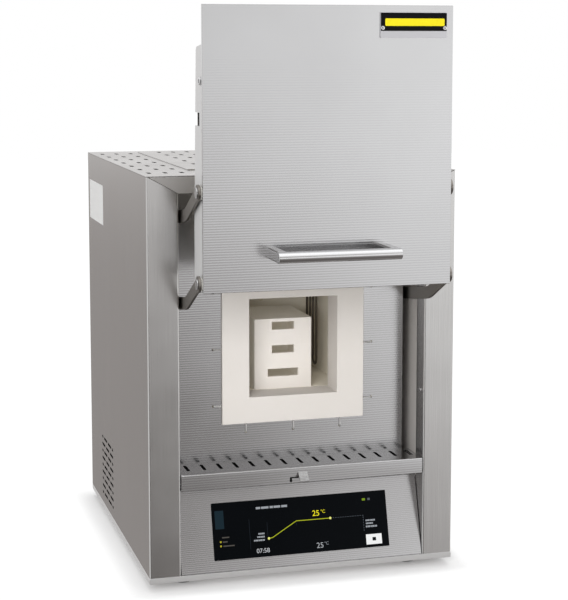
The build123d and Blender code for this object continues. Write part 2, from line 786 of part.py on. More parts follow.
# ---- door screws: handle, plate and side-plate screws -------------------------------------
handle_screw_head = 3.0
plate_screw_head = 0.8
plate_screw_tail = 2.0
side_screw_head = 2.4
side_screw_length = 8.0
with BuildPart() as door_screws:
    with BuildSketch(across(door_front - handle_screw_reach)):
        with Locations((-handle_leg_x, height(handle_centre)),
                       (handle_leg_x, height(handle_centre))):
            Circle(handle_screw_radius)
    extrude(amount=-handle_screw_reach - sheet)
    with BuildSketch(across(door_skin_back)):
        with Locations((-handle_leg_x, height(handle_centre)),
                       (handle_leg_x, height(handle_centre))):
            Circle(screw_head_radius)
    extrude(amount=-handle_screw_head)
    with BuildSketch(across(door_front - plate_thickness)):
        with Locations((plate_x - plate_screw_x, height(plate_rise - plate_screw_drop)),
                       (plate_x + plate_screw_x, height(plate_rise - plate_screw_drop))):
            Circle(plate_screw_radius)
    extrude(amount=-plate_thickness - sheet - plate_screw_tail)
    with BuildSketch(across(door_front - plate_thickness)):
        with Locations((plate_x - plate_screw_x, height(plate_rise - plate_screw_drop)),
                       (plate_x + plate_screw_x, height(plate_rise - plate_screw_drop))):
            Circle(2 * plate_screw_radius)
    extrude(amount=plate_screw_head)
    for side, word in sides:
        with BuildSketch(beside(side * door_side_outer)):
            with Locations((depth(pin_depth), height(third_screw_height))):
                Circle(screw_head_radius)
        extrude(amount=side * side_screw_head)
        with BuildSketch(beside(side * door_side_outer)):
            with Locations((depth(pin_depth), height(third_screw_height))):
                Circle(screw_radius)
        extrude(amount=-side * side_screw_length)
door_screws.part.label = "door_screws"
export_step(door_screws.part, "parts/door_screws.step")

# ---- arms, bushes, pins and studs of the parallel linkage ---------------------------------
pivot_points = [(depth(arm_pivot_depth), height(z)) for z in pivot_heights]
pin_points = [(depth(pin_depth), height(z)) for z in pin_heights]
elbow_points = [(depth(arm_pivot_depth - arm_elbow_forward), height(z + arm_elbow_rise))
                for z in pivot_heights]
arm_names = ("lower_arms", "upper_arms")
arm_pin_gaps = (running_gap, open_pivot_gap)
for level in range(2):
    with BuildPart() as arms:
        for side, word in sides:
            with BuildSketch(beside(side * arm_inner)):
                with BuildLine():
                    FilletPolyline(pivot_points[level], elbow_points[level], pin_points[level],
                                   radius=arm_elbow_radius)
                trace(line_width=arm_width)
                with Locations(pivot_points[level], pin_points[level]):
                    Circle(arm_eye / 2)
                with Locations(pivot_points[level]):
                    Circle(pin_radius + running_gap, mode=Mode.SUBTRACT)
                with Locations(pin_points[level]):
                    Circle(pin_radius + arm_pin_gaps[level], mode=Mode.SUBTRACT)
            extrude(amount=side * arm_thickness)
    arms.part.label = arm_names[level]
    export_step(arms.part, f"parts/{arm_names[level]}.step")

bush_radius = 7.5
bush_names = ("lower_arm_bushes", "upper_arm_bushes")
for level in range(2):
    bush_hole = pin_radius + max(running_gap, arm_pin_gaps[level])
    with BuildPart() as bushes:
        for side, word in sides:
            with BuildSketch(beside(side * arm_inner)):
                with Locations(pin_points[level]):
                    Circle(bush_radius)
                    Circle(bush_hole, mode=Mode.SUBTRACT)
            extrude(amount=-side * (arm_inner - door_side_outer - side_gap))
            with BuildSketch(beside(side * arm_outer)):
                with Locations(pivot_points[level]):
                    Circle(bush_radius)
                    Circle(pin_radius + running_gap, mode=Mode.SUBTRACT)
            extrude(amount=side * (wall_half - arm_outer - side_gap))
    bushes.part.label = bush_names[level]
    export_step(bushes.part, f"parts/{bush_names[level]}.step")

nut_thickness = 4.0
nut_radius = 7.5
with BuildPart() as door_pivot_pins:
    for side, word in sides:
        with BuildSketch(beside(side * (door_side_inner - nut_thickness))):
            with Locations(*pin_points):
                RegularPolygon(nut_radius, 6)
        extrude(amount=side * nut_thickness)
        with BuildSketch(beside(side * (door_side_inner - nut_thickness))):
            with Locations(*pin_points):
                Circle(pin_radius)
        extrude(amount=side * (arm_outer + side_gap + nut_thickness - door_side_inner))
        with BuildSketch(beside(side * (arm_outer + side_gap))):
            with Locations(*pin_points):
                Circle(pin_head_radius)
        extrude(amount=side * pin_head_thickness)
door_pivot_pins.part.label = "door_pivot_pins"
export_step(door_pivot_pins.part, "parts/door_pivot_pins.step")

friction_pack = 7.0
with BuildPart() as arm_pivot_studs:
    for side, word in sides:
        with BuildSketch(beside(side * (arm_inner - side_gap))):
            with Locations(*pivot_points):
                Circle(pin_head_radius)
        extrude(amount=-side * pin_head_thickness)
        with BuildSketch(beside(side * (arm_inner - side_gap))):
            with Locations(*pivot_points):
                Circle(pin_radius)
        extrude(amount=side * (wall_half + sheet + friction_pack + nut_thickness
                               + side_gap - arm_inner))
        with BuildSketch(beside(side * (wall_half + sheet + friction_pack))):
            with Locations(*pivot_points):
                RegularPolygon(nut_radius, 6)
        extrude(amount=side * nut_thickness)
arm_pivot_studs.part.label = "arm_pivot_studs"
export_step(arm_pivot_studs.part, "parts/arm_pivot_studs.step")

with BuildPart() as friction_discs:
    for side, word in sides:
        with BuildSketch(beside(side * (wall_half + sheet))):
            with Locations(*pivot_points):
                Circle(nut_radius + 2.0)
                Circle(pin_radius + running_gap, mode=Mode.SUBTRACT)
        extrude(amount=side * friction_pack)
friction_discs.part.label = "friction_discs"
export_step(friction_discs.part, "parts/friction_discs.step")

# ---- muffle: fibre collar, blocks, casing and stand ---------------------------------------
with BuildPart() as collar:
    block((-collar_width / 2, collar_width / 2), (collar_depth, neck_end),
          (collar_bottom, collar_bottom + collar_height))
    fillet(collar.faces().sort_by(Axis.Y)[0].edges(), 1.2)
    block((-neck_width / 2, neck_width / 2), (collar_depth - 1, neck_end + 1),
          (neck_bottom, neck_bottom + neck_height), Mode.SUBTRACT)
collar.part.label = "collar"
export_step(collar.part, "parts/collar.step")

clip_half = clip_wire / 2
clip_front = recess_depth - 2.2
collar_top = collar_bottom + collar_height
with BuildPart() as wire_clips:
    # each clip lies on the panel, with its outer end bent through the hole
    for x in clip_columns:
        block((x - clip_half, x + clip_half), (clip_front, clip_front + clip_wire),
              (collar_bottom - clip_reach - clip_half, collar_bottom - seam))
        block((x - clip_half, x + clip_half), (clip_front, recess_depth + 3.0),
              (collar_bottom - clip_reach - clip_half, collar_bottom - clip_reach + clip_half))
        block((x - clip_half, x + clip_half), (clip_front, clip_front + clip_wire),
              (collar_top + seam, collar_top + clip_reach + clip_half))
        block((x - clip_half, x + clip_half), (clip_front, recess_depth + 3.0),
              (collar_top + clip_reach - clip_half, collar_top + clip_reach + clip_half))
    for side, word in sides:
        for z in clip_rows:
            inner_x = side * (collar_width / 2 + seam)
            outer_x = side * (clip_side_x + clip_half)
            block(sorted((inner_x, outer_x)), (clip_front, clip_front + clip_wire),
                  (z - clip_half, z + clip_half))
            block((side * clip_side_x - clip_half, side * clip_side_x + clip_half),
                  (clip_front, recess_depth + 3.0), (z - clip_half, z + clip_half))
wire_clips.part.label = "wire_clips"
export_step(wire_clips.part, "parts/wire_clips.step")

casing_front = recess_depth + sheet
fill_half = casing_half_width - sheet
fill_front = casing_front
fill_end = casing_end - sheet
fill_low = casing_bottom + sheet
fill_high = casing_top - sheet

with BuildPart() as muffle_front:
    block((-fill_half, fill_half), (fill_front, neck_end), (fill_low, fill_high))
    block((-collar_width / 2 - collar_gap, collar_width / 2 + collar_gap),
          (fill_front - 1, neck_end + 1),
          (collar_bottom - collar_gap, collar_top + collar_gap), Mode.SUBTRACT)
    # pockets for the bent ends of the wire clips
    with BuildSketch(across(fill_front)):
        with Locations(*clip_spots):
            Circle(clip_hole)
    extrude(amount=-4.0, mode=Mode.SUBTRACT)
muffle_front.part.label = "muffle_front"
export_step(muffle_front.part, "parts/muffle_front.step")

with BuildPart() as muffle_floor:
    block((-fill_half, fill_half), (neck_end, fill_end), (fill_low, neck_bottom))
muffle_floor.part.label = "muffle_floor"
export_step(muffle_floor.part, "parts/muffle_floor.step")

leg_depths = [element_first_depth + pair * element_spacing + leg * element_pitch
              for pair in range(2) for leg in range(2)]
leg_spots = [(s * element_offset, depth(d)) for s in (-1, 1) for d in leg_depths]
with BuildPart() as muffle_roof:
    block((-fill_half, fill_half), (neck_end, fill_end), (chamber_top, fill_high))
    with BuildSketch(Plane.XY.offset(height(chamber_top))):
        with Locations(*leg_spots):
            Circle(element_terminal_radius + element_hole_gap)
    extrude(amount=fill_high - chamber_top, mode=Mode.SUBTRACT)
muffle_roof.part.label = "muffle_roof"
export_step(muffle_roof.part, "parts/muffle_roof.step")

with BuildPart() as muffle_side_walls:
    for side, word in sides:
        block(sorted((side * chamber_half_width, side * fill_half)), (neck_end, fill_end),
              (neck_bottom, chamber_top))
muffle_side_walls.part.label = "muffle_side_walls"
export_step(muffle_side_walls.part, "parts/muffle_side_walls.step")

couple_radius = 4.0
couple_height = neck_bottom + 0.72 * chamber_height
couple_reach = 22.0
with BuildPart() as muffle_rear:
    block((-chamber_half_width, chamber_half_width), (chamber_end, fill_end),
          (neck_bottom, chamber_top))
    with BuildSketch(across(chamber_end)):
        with Locations((0, height(couple_height))):
            Circle(couple_radius + seam)
    extrude(amount=-(fill_end - chamber_end), mode=Mode.SUBTRACT)
muffle_rear.part.label = "muffle_rear"
export_step(muffle_rear.part, "parts/muffle_rear.step")

with BuildPart() as inner_casing:
    block((-casing_half_width, casing_half_width), (casing_front, casing_end),
          (casing_bottom, casing_top))
    block((-fill_half, fill_half), (casing_front - 1, fill_end), (fill_low, fill_high),
          Mode.SUBTRACT)
    with BuildSketch(Plane.XY.offset(height(fill_high))):
        with Locations(*leg_spots):
            Circle(element_terminal_radius + element_hole_gap)
    extrude(amount=sheet, mode=Mode.SUBTRACT)
    with BuildSketch(across(fill_end)):
        with Locations((0, height(couple_height))):
            Circle(couple_radius + seam)
    extrude(amount=-sheet, mode=Mode.SUBTRACT)
inner_casing.part.label = "inner_casing"
export_step(inner_casing.part, "parts/inner_casing.step")

stand_half = casing_half_width - 24.0
stand_foot = 18.0
stand_front = 70.0
with BuildPart() as muffle_stand:
    for side, word in sides:
        block(sorted((side * stand_half, side * (stand_half + sheet))),
              (stand_front, casing_end - 10.0), (base_sheet, casing_bottom))
        block(sorted((side * stand_half, side * (stand_half + stand_foot))),
              (stand_front, casing_end - 10.0), (base_sheet, base_sheet + sheet))
        block(sorted((side * stand_half, side * (stand_half + stand_foot))),
              (stand_front, casing_end - 10.0), (casing_bottom - sheet, casing_bottom))
muffle_stand.part.label = "muffle_stand"
export_step(muffle_stand.part, "parts/muffle_stand.step")

# ---- heating elements: hairpins hung through the roof -------------------------------------
hairpin_low = neck_bottom + element_bottom_gap + element_pitch / 2
with BuildPart() as heating_elements:
    for side in (-1, 1):
        for pair in range(2):
            near = element_first_depth + pair * element_spacing
            with BuildLine(beside(side * element_offset)) as hairpin:
                near_top = (depth(near), height(chamber_top + 4.0))
                near_low = (depth(near), height(hairpin_low))
                far_low = (depth(near + element_pitch), height(hairpin_low))
                far_top = (depth(near + element_pitch), height(chamber_top + 4.0))
                bottom = (depth(near + element_pitch / 2),
                          height(hairpin_low - element_pitch / 2))
                Line(near_top, near_low)
                ThreePointArc(near_low, bottom, far_low)
                Line(far_low, far_top)
            with BuildSketch(Plane(origin=hairpin.line @ 0, z_dir=hairpin.line % 0)):
                Circle(element_leg_radius)
            sweep()
    with BuildSketch(Plane.XY.offset(height(chamber_top + 2.0))):
        with Locations(*leg_spots):
            Circle(element_terminal_radius)
    extrude(amount=element_terminal_height - chamber_top - 2.0)
heating_elements.part.label = "heating_elements"
export_step(heating_elements.part, "parts/heating_elements.step")

clamp_low = casing_top + 0.3
clamp_height = 14.0
with BuildPart() as element_clamps:
    for side in (-1, 1):
        for d in leg_depths:
            with BuildSketch(Plane.XY.offset(height(clamp_low))):
                with Locations((side * (element_offset + 3.0), depth(d))):
                    Rectangle(22.0, 11.0)
                with Locations((side * element_offset, depth(d))):
                    Circle(element_terminal_radius + 0.02, mode=Mode.SUBTRACT)
            extrude(amount=clamp_height)
element_clamps.part.label = "element_clamps"
export_step(element_clamps.part, "parts/element_clamps.step")

# ---- thermocouple in its ceramic sheath, with its head behind the casing ------------------
head_radius = 14.0
head_length = 24.0
with BuildPart() as thermocouple:
    with BuildSketch(across(chamber_end - couple_reach)):
        with Locations((0, height(couple_height))):
            Circle(couple_radius)
    extrude(amount=-(casing_end + 2.0 - chamber_end + couple_reach))
    with BuildSketch(across(casing_end)):
        with Locations((0, height(couple_height))):
            Circle(head_radius)
    extrude(amount=-head_length)
    fillet(thermocouple.faces().sort_by(Axis.Y)[-1].edges(), 3.0)
thermocouple.part.label = "thermocouple"
export_step(thermocouple.part, "parts/thermocouple.step")

# ---- electrics ----------------------------------------------------------------------------
floor_top = base_sheet
transformer_x = -60.0
transformer_front = body_depth - 116.0
core_width = 96.0
core_height = 82.0
core_thickness = 38.0
coil_bulge = 16.0
with BuildPart() as transformer:
    block((transformer_x - core_width / 2, transformer_x + core_width / 2),
          (transformer_front, transformer_front + core_thickness),
          (floor_top, floor_top + core_height))
    block((transformer_x - core_width / 3, transformer_x + core_width / 3),
          (transformer_front - coil_bulge, transformer_front + core_thickness + coil_bulge),
          (floor_top + 16.0, floor_top + core_height - 16.0))
    block((transformer_x - core_width / 2 - 10.0, transformer_x + core_width / 2 + 10.0),
          (transformer_front, transformer_front + core_thickness),
          (floor_top, floor_top + 2.0))
transformer.part.label = "transformer"
export_step(transformer.part, "parts/transformer.step")

sink_x = half_width - 102.5
sink_width = 90.0
sink_front = transformer_front
sink_base = 6.0
sink_length = 70.0
sink_fins = 9
fin_height = 22.0
fin_width = 2.0
module_width = 44.0
module_depth = 24.0
module_length = 54.0
module_rise = 8.0
with BuildPart() as thyristor_unit:
    block((sink_x - sink_width / 2, sink_x + sink_width / 2),
          (sink_front + fin_height, sink_front + fin_height + sink_base),
          (floor_top, floor_top + sink_length))
    for fin in range(sink_fins):
        fin_x = sink_x + (fin - (sink_fins - 1) / 2) * (sink_width - fin_width) / (sink_fins - 1)
        block((fin_x - fin_width / 2, fin_x + fin_width / 2), (sink_front, sink_front + fin_height),
              (floor_top, floor_top + sink_length))
    block((sink_x - module_width / 2, sink_x + module_width / 2),
          (sink_front + fin_height + sink_base, sink_front + fin_height + sink_base + module_depth),
          (floor_top + module_rise, floor_top + module_rise + module_length))
thyristor_unit.part.label = "thyristor_unit"
export_step(thyristor_unit.part, "parts/thyristor_unit.step")

terminal_count = 6
terminal_pitch = 9.0
terminal_x = 20.0
terminal_front = body_depth - 74.0
with BuildPart() as terminal_block:
    block((terminal_x - terminal_count * terminal_pitch / 2,
           terminal_x + terminal_count * terminal_pitch / 2),
          (terminal_front, terminal_front + 24.0), (floor_top, floor_top + 28.0))
    with BuildSketch(Plane.XY.offset(height(floor_top + 28.0))):
        with Locations((terminal_x, depth(terminal_front + 12.0))):
            with GridLocations(terminal_pitch, 14.0, terminal_count, 2):
                Circle(2.6)
    extrude(amount=-8.0, mode=Mode.SUBTRACT)
terminal_block.part.label = "terminal_block"
export_step(terminal_block.part, "parts/terminal_block.step")

# ---- cooling fan on the rear panel --------------------------------------------------------
fan_front = rear_face - fan_depth
rotor_gap = 1.0
with BuildPart() as fan_frame:
    with BuildSketch(across(rear_face)):
        with Locations(fan_spot):
            RectangleRounded(fan_size, fan_size, 5.0)
            Circle(fan_bore, mode=Mode.SUBTRACT)
            with GridLocations(fan_screw_pitch, fan_screw_pitch, 2, 2):
                Circle(screw_hole, mode=Mode.SUBTRACT)
    extrude(amount=fan_depth)
    with BuildSketch(across(fan_front + 3.0)):
        with Locations(fan_spot):
            Circle(fan_hub)
            Rectangle(2 * fan_bore + 2.0, 5.0)
            Rectangle(5.0, 2 * fan_bore + 2.0)
    extrude(amount=3.0)
    with BuildSketch(across(rear_face - 4.0)):
        with Locations(fan_spot):
            Circle(fan_shaft)
    extrude(amount=fan_depth - 5.0)
fan_frame.part.label = "fan_frame"
export_step(fan_frame.part, "parts/fan_frame.step")

blade_count = 7
blade_reach = fan_bore - 1.5
with BuildPart() as fan_rotor:
    with BuildSketch(across(rear_face - 3.0)):
        with Locations(fan_spot):
            Circle(fan_hub)
    extrude(amount=fan_depth - 3.0 - 3.0 - rotor_gap)
    with BuildSketch(across(rear_face - 5.0)):
        with Locations(fan_spot):
            with PolarLocations((fan_hub + blade_reach) / 2, blade_count):
                Rectangle(blade_reach - fan_hub + 2.0, 9.0)
    extrude(amount=14.0)
    with BuildSketch(across(rear_face - 4.0 + rotor_gap)):
        with Locations(fan_spot):
            Circle(fan_shaft + running_gap)
    extrude(amount=fan_depth, mode=Mode.SUBTRACT)
fan_rotor.part.label = "fan_rotor"
export_step(fan_rotor.part, "parts/fan_rotor.step")

guard_rings = [guard_ring_first + ring * guard_ring_pitch for ring in range(4)]
guard_corner = fan_screw_pitch / 2
guard_bar = 2 * guard_corner * math.sqrt(2)
guard_foot = 3.6
with BuildPart() as fan_guard:
    with BuildSketch(across(body_depth + guard_depth - guard_wire)):
        with Locations(fan_spot):
            for ring in guard_rings:
                Circle(ring + guard_wire / 2)
                Circle(ring - guard_wire / 2, mode=Mode.SUBTRACT)
    extrude(amount=-guard_wire)
    # two crossed bars behind the rings, with an eye over each of the fan's screws
    with BuildSketch(across(body_depth + guard_depth - 2 * guard_wire)):
        with Locations(fan_spot):
            Rectangle(guard_bar, 2 * guard_wire, rotation=45)
            Rectangle(guard_bar, 2 * guard_wire, rotation=-45)
    extrude(amount=-guard_wire)
    with BuildSketch(across(body_depth + guard_depth - 2 * guard_wire)):
        with Locations(fan_spot):
            with GridLocations(fan_screw_pitch, fan_screw_pitch, 2, 2):
                Circle(guard_foot)
    extrude(amount=-guard_wire)
fan_guard.part.label = "fan_guard"
export_step(fan_guard.part, "parts/fan_guard.step")

with BuildPart() as fan_guard_feet:
    with BuildSketch(across(body_depth)):
        with Locations(fan_spot):
            with GridLocations(fan_screw_pitch, fan_screw_pitch, 2, 2):
                Circle(guard_foot)
    extrude(amount=2 * guard_wire - guard_depth)
fan_guard_feet.part.label = "fan_guard_feet"
export_step(fan_guard_feet.part, "parts/fan_guard_feet.step")

# ---- mains inlet and rocker switch --------------------------------------------------------
inlet_depth = 26.0
socket_depth = 17.0
socket_width = 24.0
socket_tall = 17.0
inlet_spot = (inlet_centre_x, height(socket_height))
with BuildPart() as mains_inlet:
    with BuildSketch(across(body_depth)):
        with Locations(inlet_spot):
            RectangleRounded(inlet_flange_width, inlet_flange_height, 4.0)
    extrude(amount=-2.5)
    with BuildSketch(across(body_depth)):
        with Locations(inlet_spot):
            Rectangle(inlet_width, inlet_height)
    extrude(amount=inlet_depth)
    with BuildSketch(across(body_depth + 2.5)):
        with Locations(inlet_spot):
            RectangleRounded(socket_width, socket_tall, 3.0)
    extrude(amount=socket_depth, mode=Mode.SUBTRACT)
    with BuildSketch(across(body_depth + 2.5 - socket_depth)):
        with Locations((inlet_centre_x - 7.0, height(socket_height - 2.0)),
                       (inlet_centre_x, height(socket_height + 2.0)),
                       (inlet_centre_x + 7.0, height(socket_height - 2.0))):
            Rectangle(2.0, 4.0)
    extrude(amount=-14.0)
mains_inlet.part.label = "mains_inlet"
export_step(mains_inlet.part, "parts/mains_inlet.step")

switch_spot = (switch_centre_x, height(socket_height))
switch_depth = 22.0
rocker_width = 15.0
rocker_tall = 20.0
rocker_gap = 0.5
rocker_pivot_depth = body_depth - 4.0
rocker_pin = 1.5
with BuildPart() as switch_housing:
    with BuildSketch(across(body_depth)):
        with Locations(switch_spot):
            RectangleRounded(switch_width + 4.0, switch_height + 4.0, 2.0)
    extrude(amount=-2.0)
    with BuildSketch(across(body_depth)):
        with Locations(switch_spot):
            Rectangle(switch_width, switch_height)
    extrude(amount=switch_depth)
    with BuildSketch(across(body_depth + 2.0)):
        with Locations(switch_spot):
            Rectangle(rocker_width + 2 * rocker_gap, rocker_tall + 6 * rocker_gap)
    extrude(amount=16.0, mode=Mode.SUBTRACT)
    with BuildSketch(beside(switch_centre_x - rocker_width / 2 - 2.0)):
        with Locations((depth(rocker_pivot_depth), height(socket_height))):
            Circle(rocker_pin)
    extrude(amount=rocker_width + 4.0)
switch_housing.part.label = "switch_housing"
export_step(switch_housing.part, "parts/switch_housing.step")

rocker_rise = 2.6
with BuildPart() as switch_rocker:
    with BuildSketch(beside(switch_centre_x - rocker_width / 2)):
        with BuildLine():
            Polyline(
                (depth(rocker_pivot_depth - 4.0), height(socket_height - 4.0)),
                (depth(rocker_pivot_depth - 4.0), height(socket_height + 4.0)),
                (depth(body_depth - 1.0), height(socket_height + rocker_tall / 2)),
                (depth(body_depth + rocker_rise), height(socket_height + rocker_tall / 2)),
                (depth(body_depth), height(socket_height)),
                (depth(body_depth + 0.6), height(socket_height - rocker_tall / 2)),
                (depth(body_depth - 4.0), height(socket_height - rocker_tall / 2)),
                close=True)
        make_face()
        with Locations((depth(rocker_pivot_depth), height(socket_height))):
            Circle(rocker_pin + running_gap, mode=Mode.SUBTRACT)
    extrude(amount=rocker_width)
switch_rocker.part.label = "switch_rocker"
export_step(switch_rocker.part, "parts/switch_rocker.step")

# ---- stack of sintering saggers on the chamber's floor ------------------------------------
sagger_left = sagger_shift - sagger_width / 2
sagger_right = sagger_shift + sagger_width / 2
sagger_end = sagger_front + sagger_depth
sagger_names = ("sagger_bottom", "sagger_middle", "sagger_top")
sagger_heights = (sagger_base_height, sagger_height, sagger_height)
sagger_slots = (sagger_base_slot_width, sagger_slot_width, sagger_slot_width)
sagger_floors = [neck_bottom + sum(sagger_heights[:level]) for level in range(3)]
for level in range(3):
    low = sagger_floors[level]
    high = low + sagger_heights[level]
    with BuildPart() as sagger:
        block((sagger_left, sagger_right), (sagger_front, sagger_end), (low, high))
        fillet(sagger.edges().filter_by(Axis.Z), 1.5)
        block((sagger_left + sagger_wall, sagger_right - sagger_wall),
              (sagger_front + sagger_wall, sagger_end - sagger_wall),
              (low + sagger_floor, high + 1), Mode.SUBTRACT)
        block((sagger_shift - sagger_slots[level] / 2, sagger_shift + sagger_slots[level] / 2),
              (sagger_front - 1, sagger_front + sagger_wall + 1),
              (high - sagger_slot_height, high + 1), Mode.SUBTRACT)
    sagger.part.label = sagger_names[level]
    export_step(sagger.part, f"parts/{sagger_names[level]}.step")

lid_low = neck_bottom + sum(sagger_heights)
with BuildPart() as sagger_lid:
    block((sagger_left, sagger_right), (sagger_front, sagger_end),
          (lid_low, lid_low + sagger_lid_thickness))
    fillet(sagger_lid.edges().filter_by(Axis.Z), 1.5)
sagger_lid.part.label = "sagger_lid"
export_step(sagger_lid.part, "parts/sagger_lid.step")
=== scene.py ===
"""Finishes and fine pieces for a benchtop muffle furnace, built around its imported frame."""

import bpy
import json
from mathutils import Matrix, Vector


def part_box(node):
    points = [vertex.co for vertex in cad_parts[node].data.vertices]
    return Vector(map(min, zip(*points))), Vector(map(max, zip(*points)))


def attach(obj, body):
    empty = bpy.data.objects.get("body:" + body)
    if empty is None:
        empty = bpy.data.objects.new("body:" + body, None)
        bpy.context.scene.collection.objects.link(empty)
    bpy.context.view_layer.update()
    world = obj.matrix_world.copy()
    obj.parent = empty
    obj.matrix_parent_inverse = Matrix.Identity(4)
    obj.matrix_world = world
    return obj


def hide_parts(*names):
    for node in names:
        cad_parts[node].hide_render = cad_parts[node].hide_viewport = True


bl_info = {
    "name": "Muffle Furnace Finishes",
    "version": (1, 0, 0),
    "blender": (4, 5, 0),
    "location": "View3D > Sidebar > Furnace",
    "description": "Dresses the frame of a muffle furnace with its finishes and fine pieces",
    "category": "Object",
}

import json
import math

import bmesh
import bpy
from mathutils import Matrix, Vector

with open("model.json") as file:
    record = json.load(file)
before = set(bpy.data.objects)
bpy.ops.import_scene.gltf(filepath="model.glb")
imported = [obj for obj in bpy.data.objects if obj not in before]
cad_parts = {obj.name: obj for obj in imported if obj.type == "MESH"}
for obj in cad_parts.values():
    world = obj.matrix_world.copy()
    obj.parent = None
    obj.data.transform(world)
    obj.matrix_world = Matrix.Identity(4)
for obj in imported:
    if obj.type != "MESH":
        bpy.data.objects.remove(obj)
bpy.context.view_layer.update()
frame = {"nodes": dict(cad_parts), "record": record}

MM = 0.001
X, Y, Z = Vector((1, 0, 0)), Vector((0, 1, 0)), Vector((0, 0, 1))
SMOOTH_ANGLE = math.radians(32)
WELD = 0.004 * MM


# ---- helpers ------------------------------------------------------------------------------
def linear(code):
    """Linear colour with alpha from an sRGB hex value."""
    shares = [int(code[i:i + 2], 16) / 255 for i in (1, 3, 5)]
    lit = [s / 12.92 if s <= 0.04045 else ((s + 0.055) / 1.055) ** 2.4 for s in shares]
    return (*lit, 1.0)


def new_material(name):
    """Empty node material, its tree, and the Object coordinates that its patterns read."""
    material = bpy.data.materials.new(name)
    material.use_nodes = True
    tree = material.node_tree
    tree.nodes.clear()
    return material, tree, add_node(tree, "ShaderNodeTexCoord").outputs["Object"]


def add_node(tree, kind, sockets=None, **settings):
    """One node with its settings, its sockets given values or linked to other nodes.

    A node among the sockets links its first output. A colour mix goes by number: 0 is its share,
    6 and 7 are its colours, and output 2 is what it gives.
    """
    node = tree.nodes.new(kind)
    for name, value in settings.items():
        setattr(node, name, value)
    for name, value in (sockets or {}).items():
        if isinstance(value, bpy.types.Node):
            value = value.outputs[0]
        if isinstance(value, bpy.types.NodeSocket):
            tree.links.new(value, node.inputs[name])
        else:
            node.inputs[name].default_value = value
    return node


def welded(node):
    """Copy of a CAD node as a bmesh, its triangles joined."""
    shape = bmesh.new()
    shape.from_mesh(frame["nodes"][node].data)
    bmesh.ops.remove_doubles(shape, verts=shape.verts, dist=WELD)
    return shape


def solids(node):
    """Lowest and highest corner of each separate solid of a CAD node, in order."""
    shape = welded(node)
    waiting = set(shape.verts)
    boxes = []
    while waiting:
        found = [waiting.pop()]
        corners = []
        while found:
            vert = found.pop()
            corners.append(vert.co.copy())
            for edge in vert.link_edges:
                other = edge.other_vert(vert)
                if other in waiting:
                    waiting.remove(other)
                    found.append(other)
        low = Vector([min(c[i] for c in corners) for i in range(3)])
        high = Vector([max(c[i] for c in corners) for i in range(3)])
        boxes.append((low, high))
    shape.free()
    return sorted(boxes, key=lambda box: [round(v, 5) for v in (*box[0], *box[1])])


def face_plane(node, towards):
    """Plane of the flat side of a CAD node that looks a given way: Z out, X along world X."""
    centre = Vector()
    normal = Vector()
    area = 0.0
    for polygon in frame["nodes"][node].data.polygons:
        if polygon.normal.dot(towards) > 0.8:
            centre += polygon.center * polygon.area
            normal += polygon.normal * polygon.area
            area += polygon.area
    normal.normalize()
    across = X if abs(normal.x) < 0.5 else Y * math.copysign(1, normal.x)
    up = normal.cross(across)
    plane = Matrix((across, up, normal)).transposed().to_4x4()
    plane.translation = centre / area
    return plane


def mark_edges(shape):
    """Smooth faces, with the edges past the smoothing angle kept sharp."""
    for face in shape.faces:
        face.smooth = True
    for edge in shape.edges:
        edge.smooth = edge.is_manifold and edge.calc_face_angle(0) < SMOOTH_ANGLE


def finished(name, shape, body, material, slot, *replaced):
    """Piece made of a bmesh, riding on a body, with its finish and the nodes it stands for."""
    mark_edges(shape)
    mesh = bpy.data.meshes.new(name)
    shape.to_mesh(mesh)
    shape.free()
    mesh.materials.append(material)
    piece = bpy.data.objects.new(name, mesh)
    bpy.context.scene.collection.objects.link(piece)
    even = piece.modifiers.new("even_normals", "WEIGHTED_NORMAL")
    even.keep_sharp = True
    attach(piece, body)
    if replaced:
        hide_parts(*replaced)


def body_of(node):
    """Name of the body that carries a CAD node."""
    for body, nodes in frame["record"]["behaviour"]["bodies"].items():
        if node in nodes:
            return body
    raise RuntimeError(f"no body carries {node}")


def slot_of(node):
    """Material slot that the record gives a CAD node."""
    for part in frame["record"]["subparts"]:
        if part["node"] == node:
            return part["material_slot"]
    raise RuntimeError(f"the record has no {node}")


def stands_for(node, shape):
    """Piece that takes the place of one CAD node, with its body and its finish."""
    finished(f"{node}_dressed", shape, body_of(node), finish_of(node), slot_of(node), node)


def rounded(shape, edges, width, segments, within=True):
    """Round edges of a bmesh, held within the faces beside them where need be."""
    bmesh.ops.bevel(shape, geom=edges, offset=width, offset_type="OFFSET", segments=segments,
                    profile=0.5, affect="EDGES", clamp_overlap=within, material=-1)


def softened(node, width, shortest, segments=2, folds_only=False):
    """Copy of a CAD node with its longer sharp edges rounded, or only its outward folds."""
    shape = welded(node)
    bmesh.ops.dissolve_limit(shape, angle_limit=math.radians(1), verts=shape.verts,
                             edges=shape.edges, use_dissolve_boundaries=False)
    sharp = [edge for edge in shape.edges
             if edge.is_manifold and edge.calc_face_angle(0) > SMOOTH_ANGLE
             and edge.calc_length() > shortest]
    if folds_only:
        # the strip beside a cut edge is only as wide as the sheet is thick
        sharp = [edge for edge in sharp if edge.is_convex and min(
            face.calc_area() for face in edge.link_faces) > 3 * MM * edge.calc_length()]
    rounded(shape, sharp, width, segments, within=False)
    stands_for(node, shape)


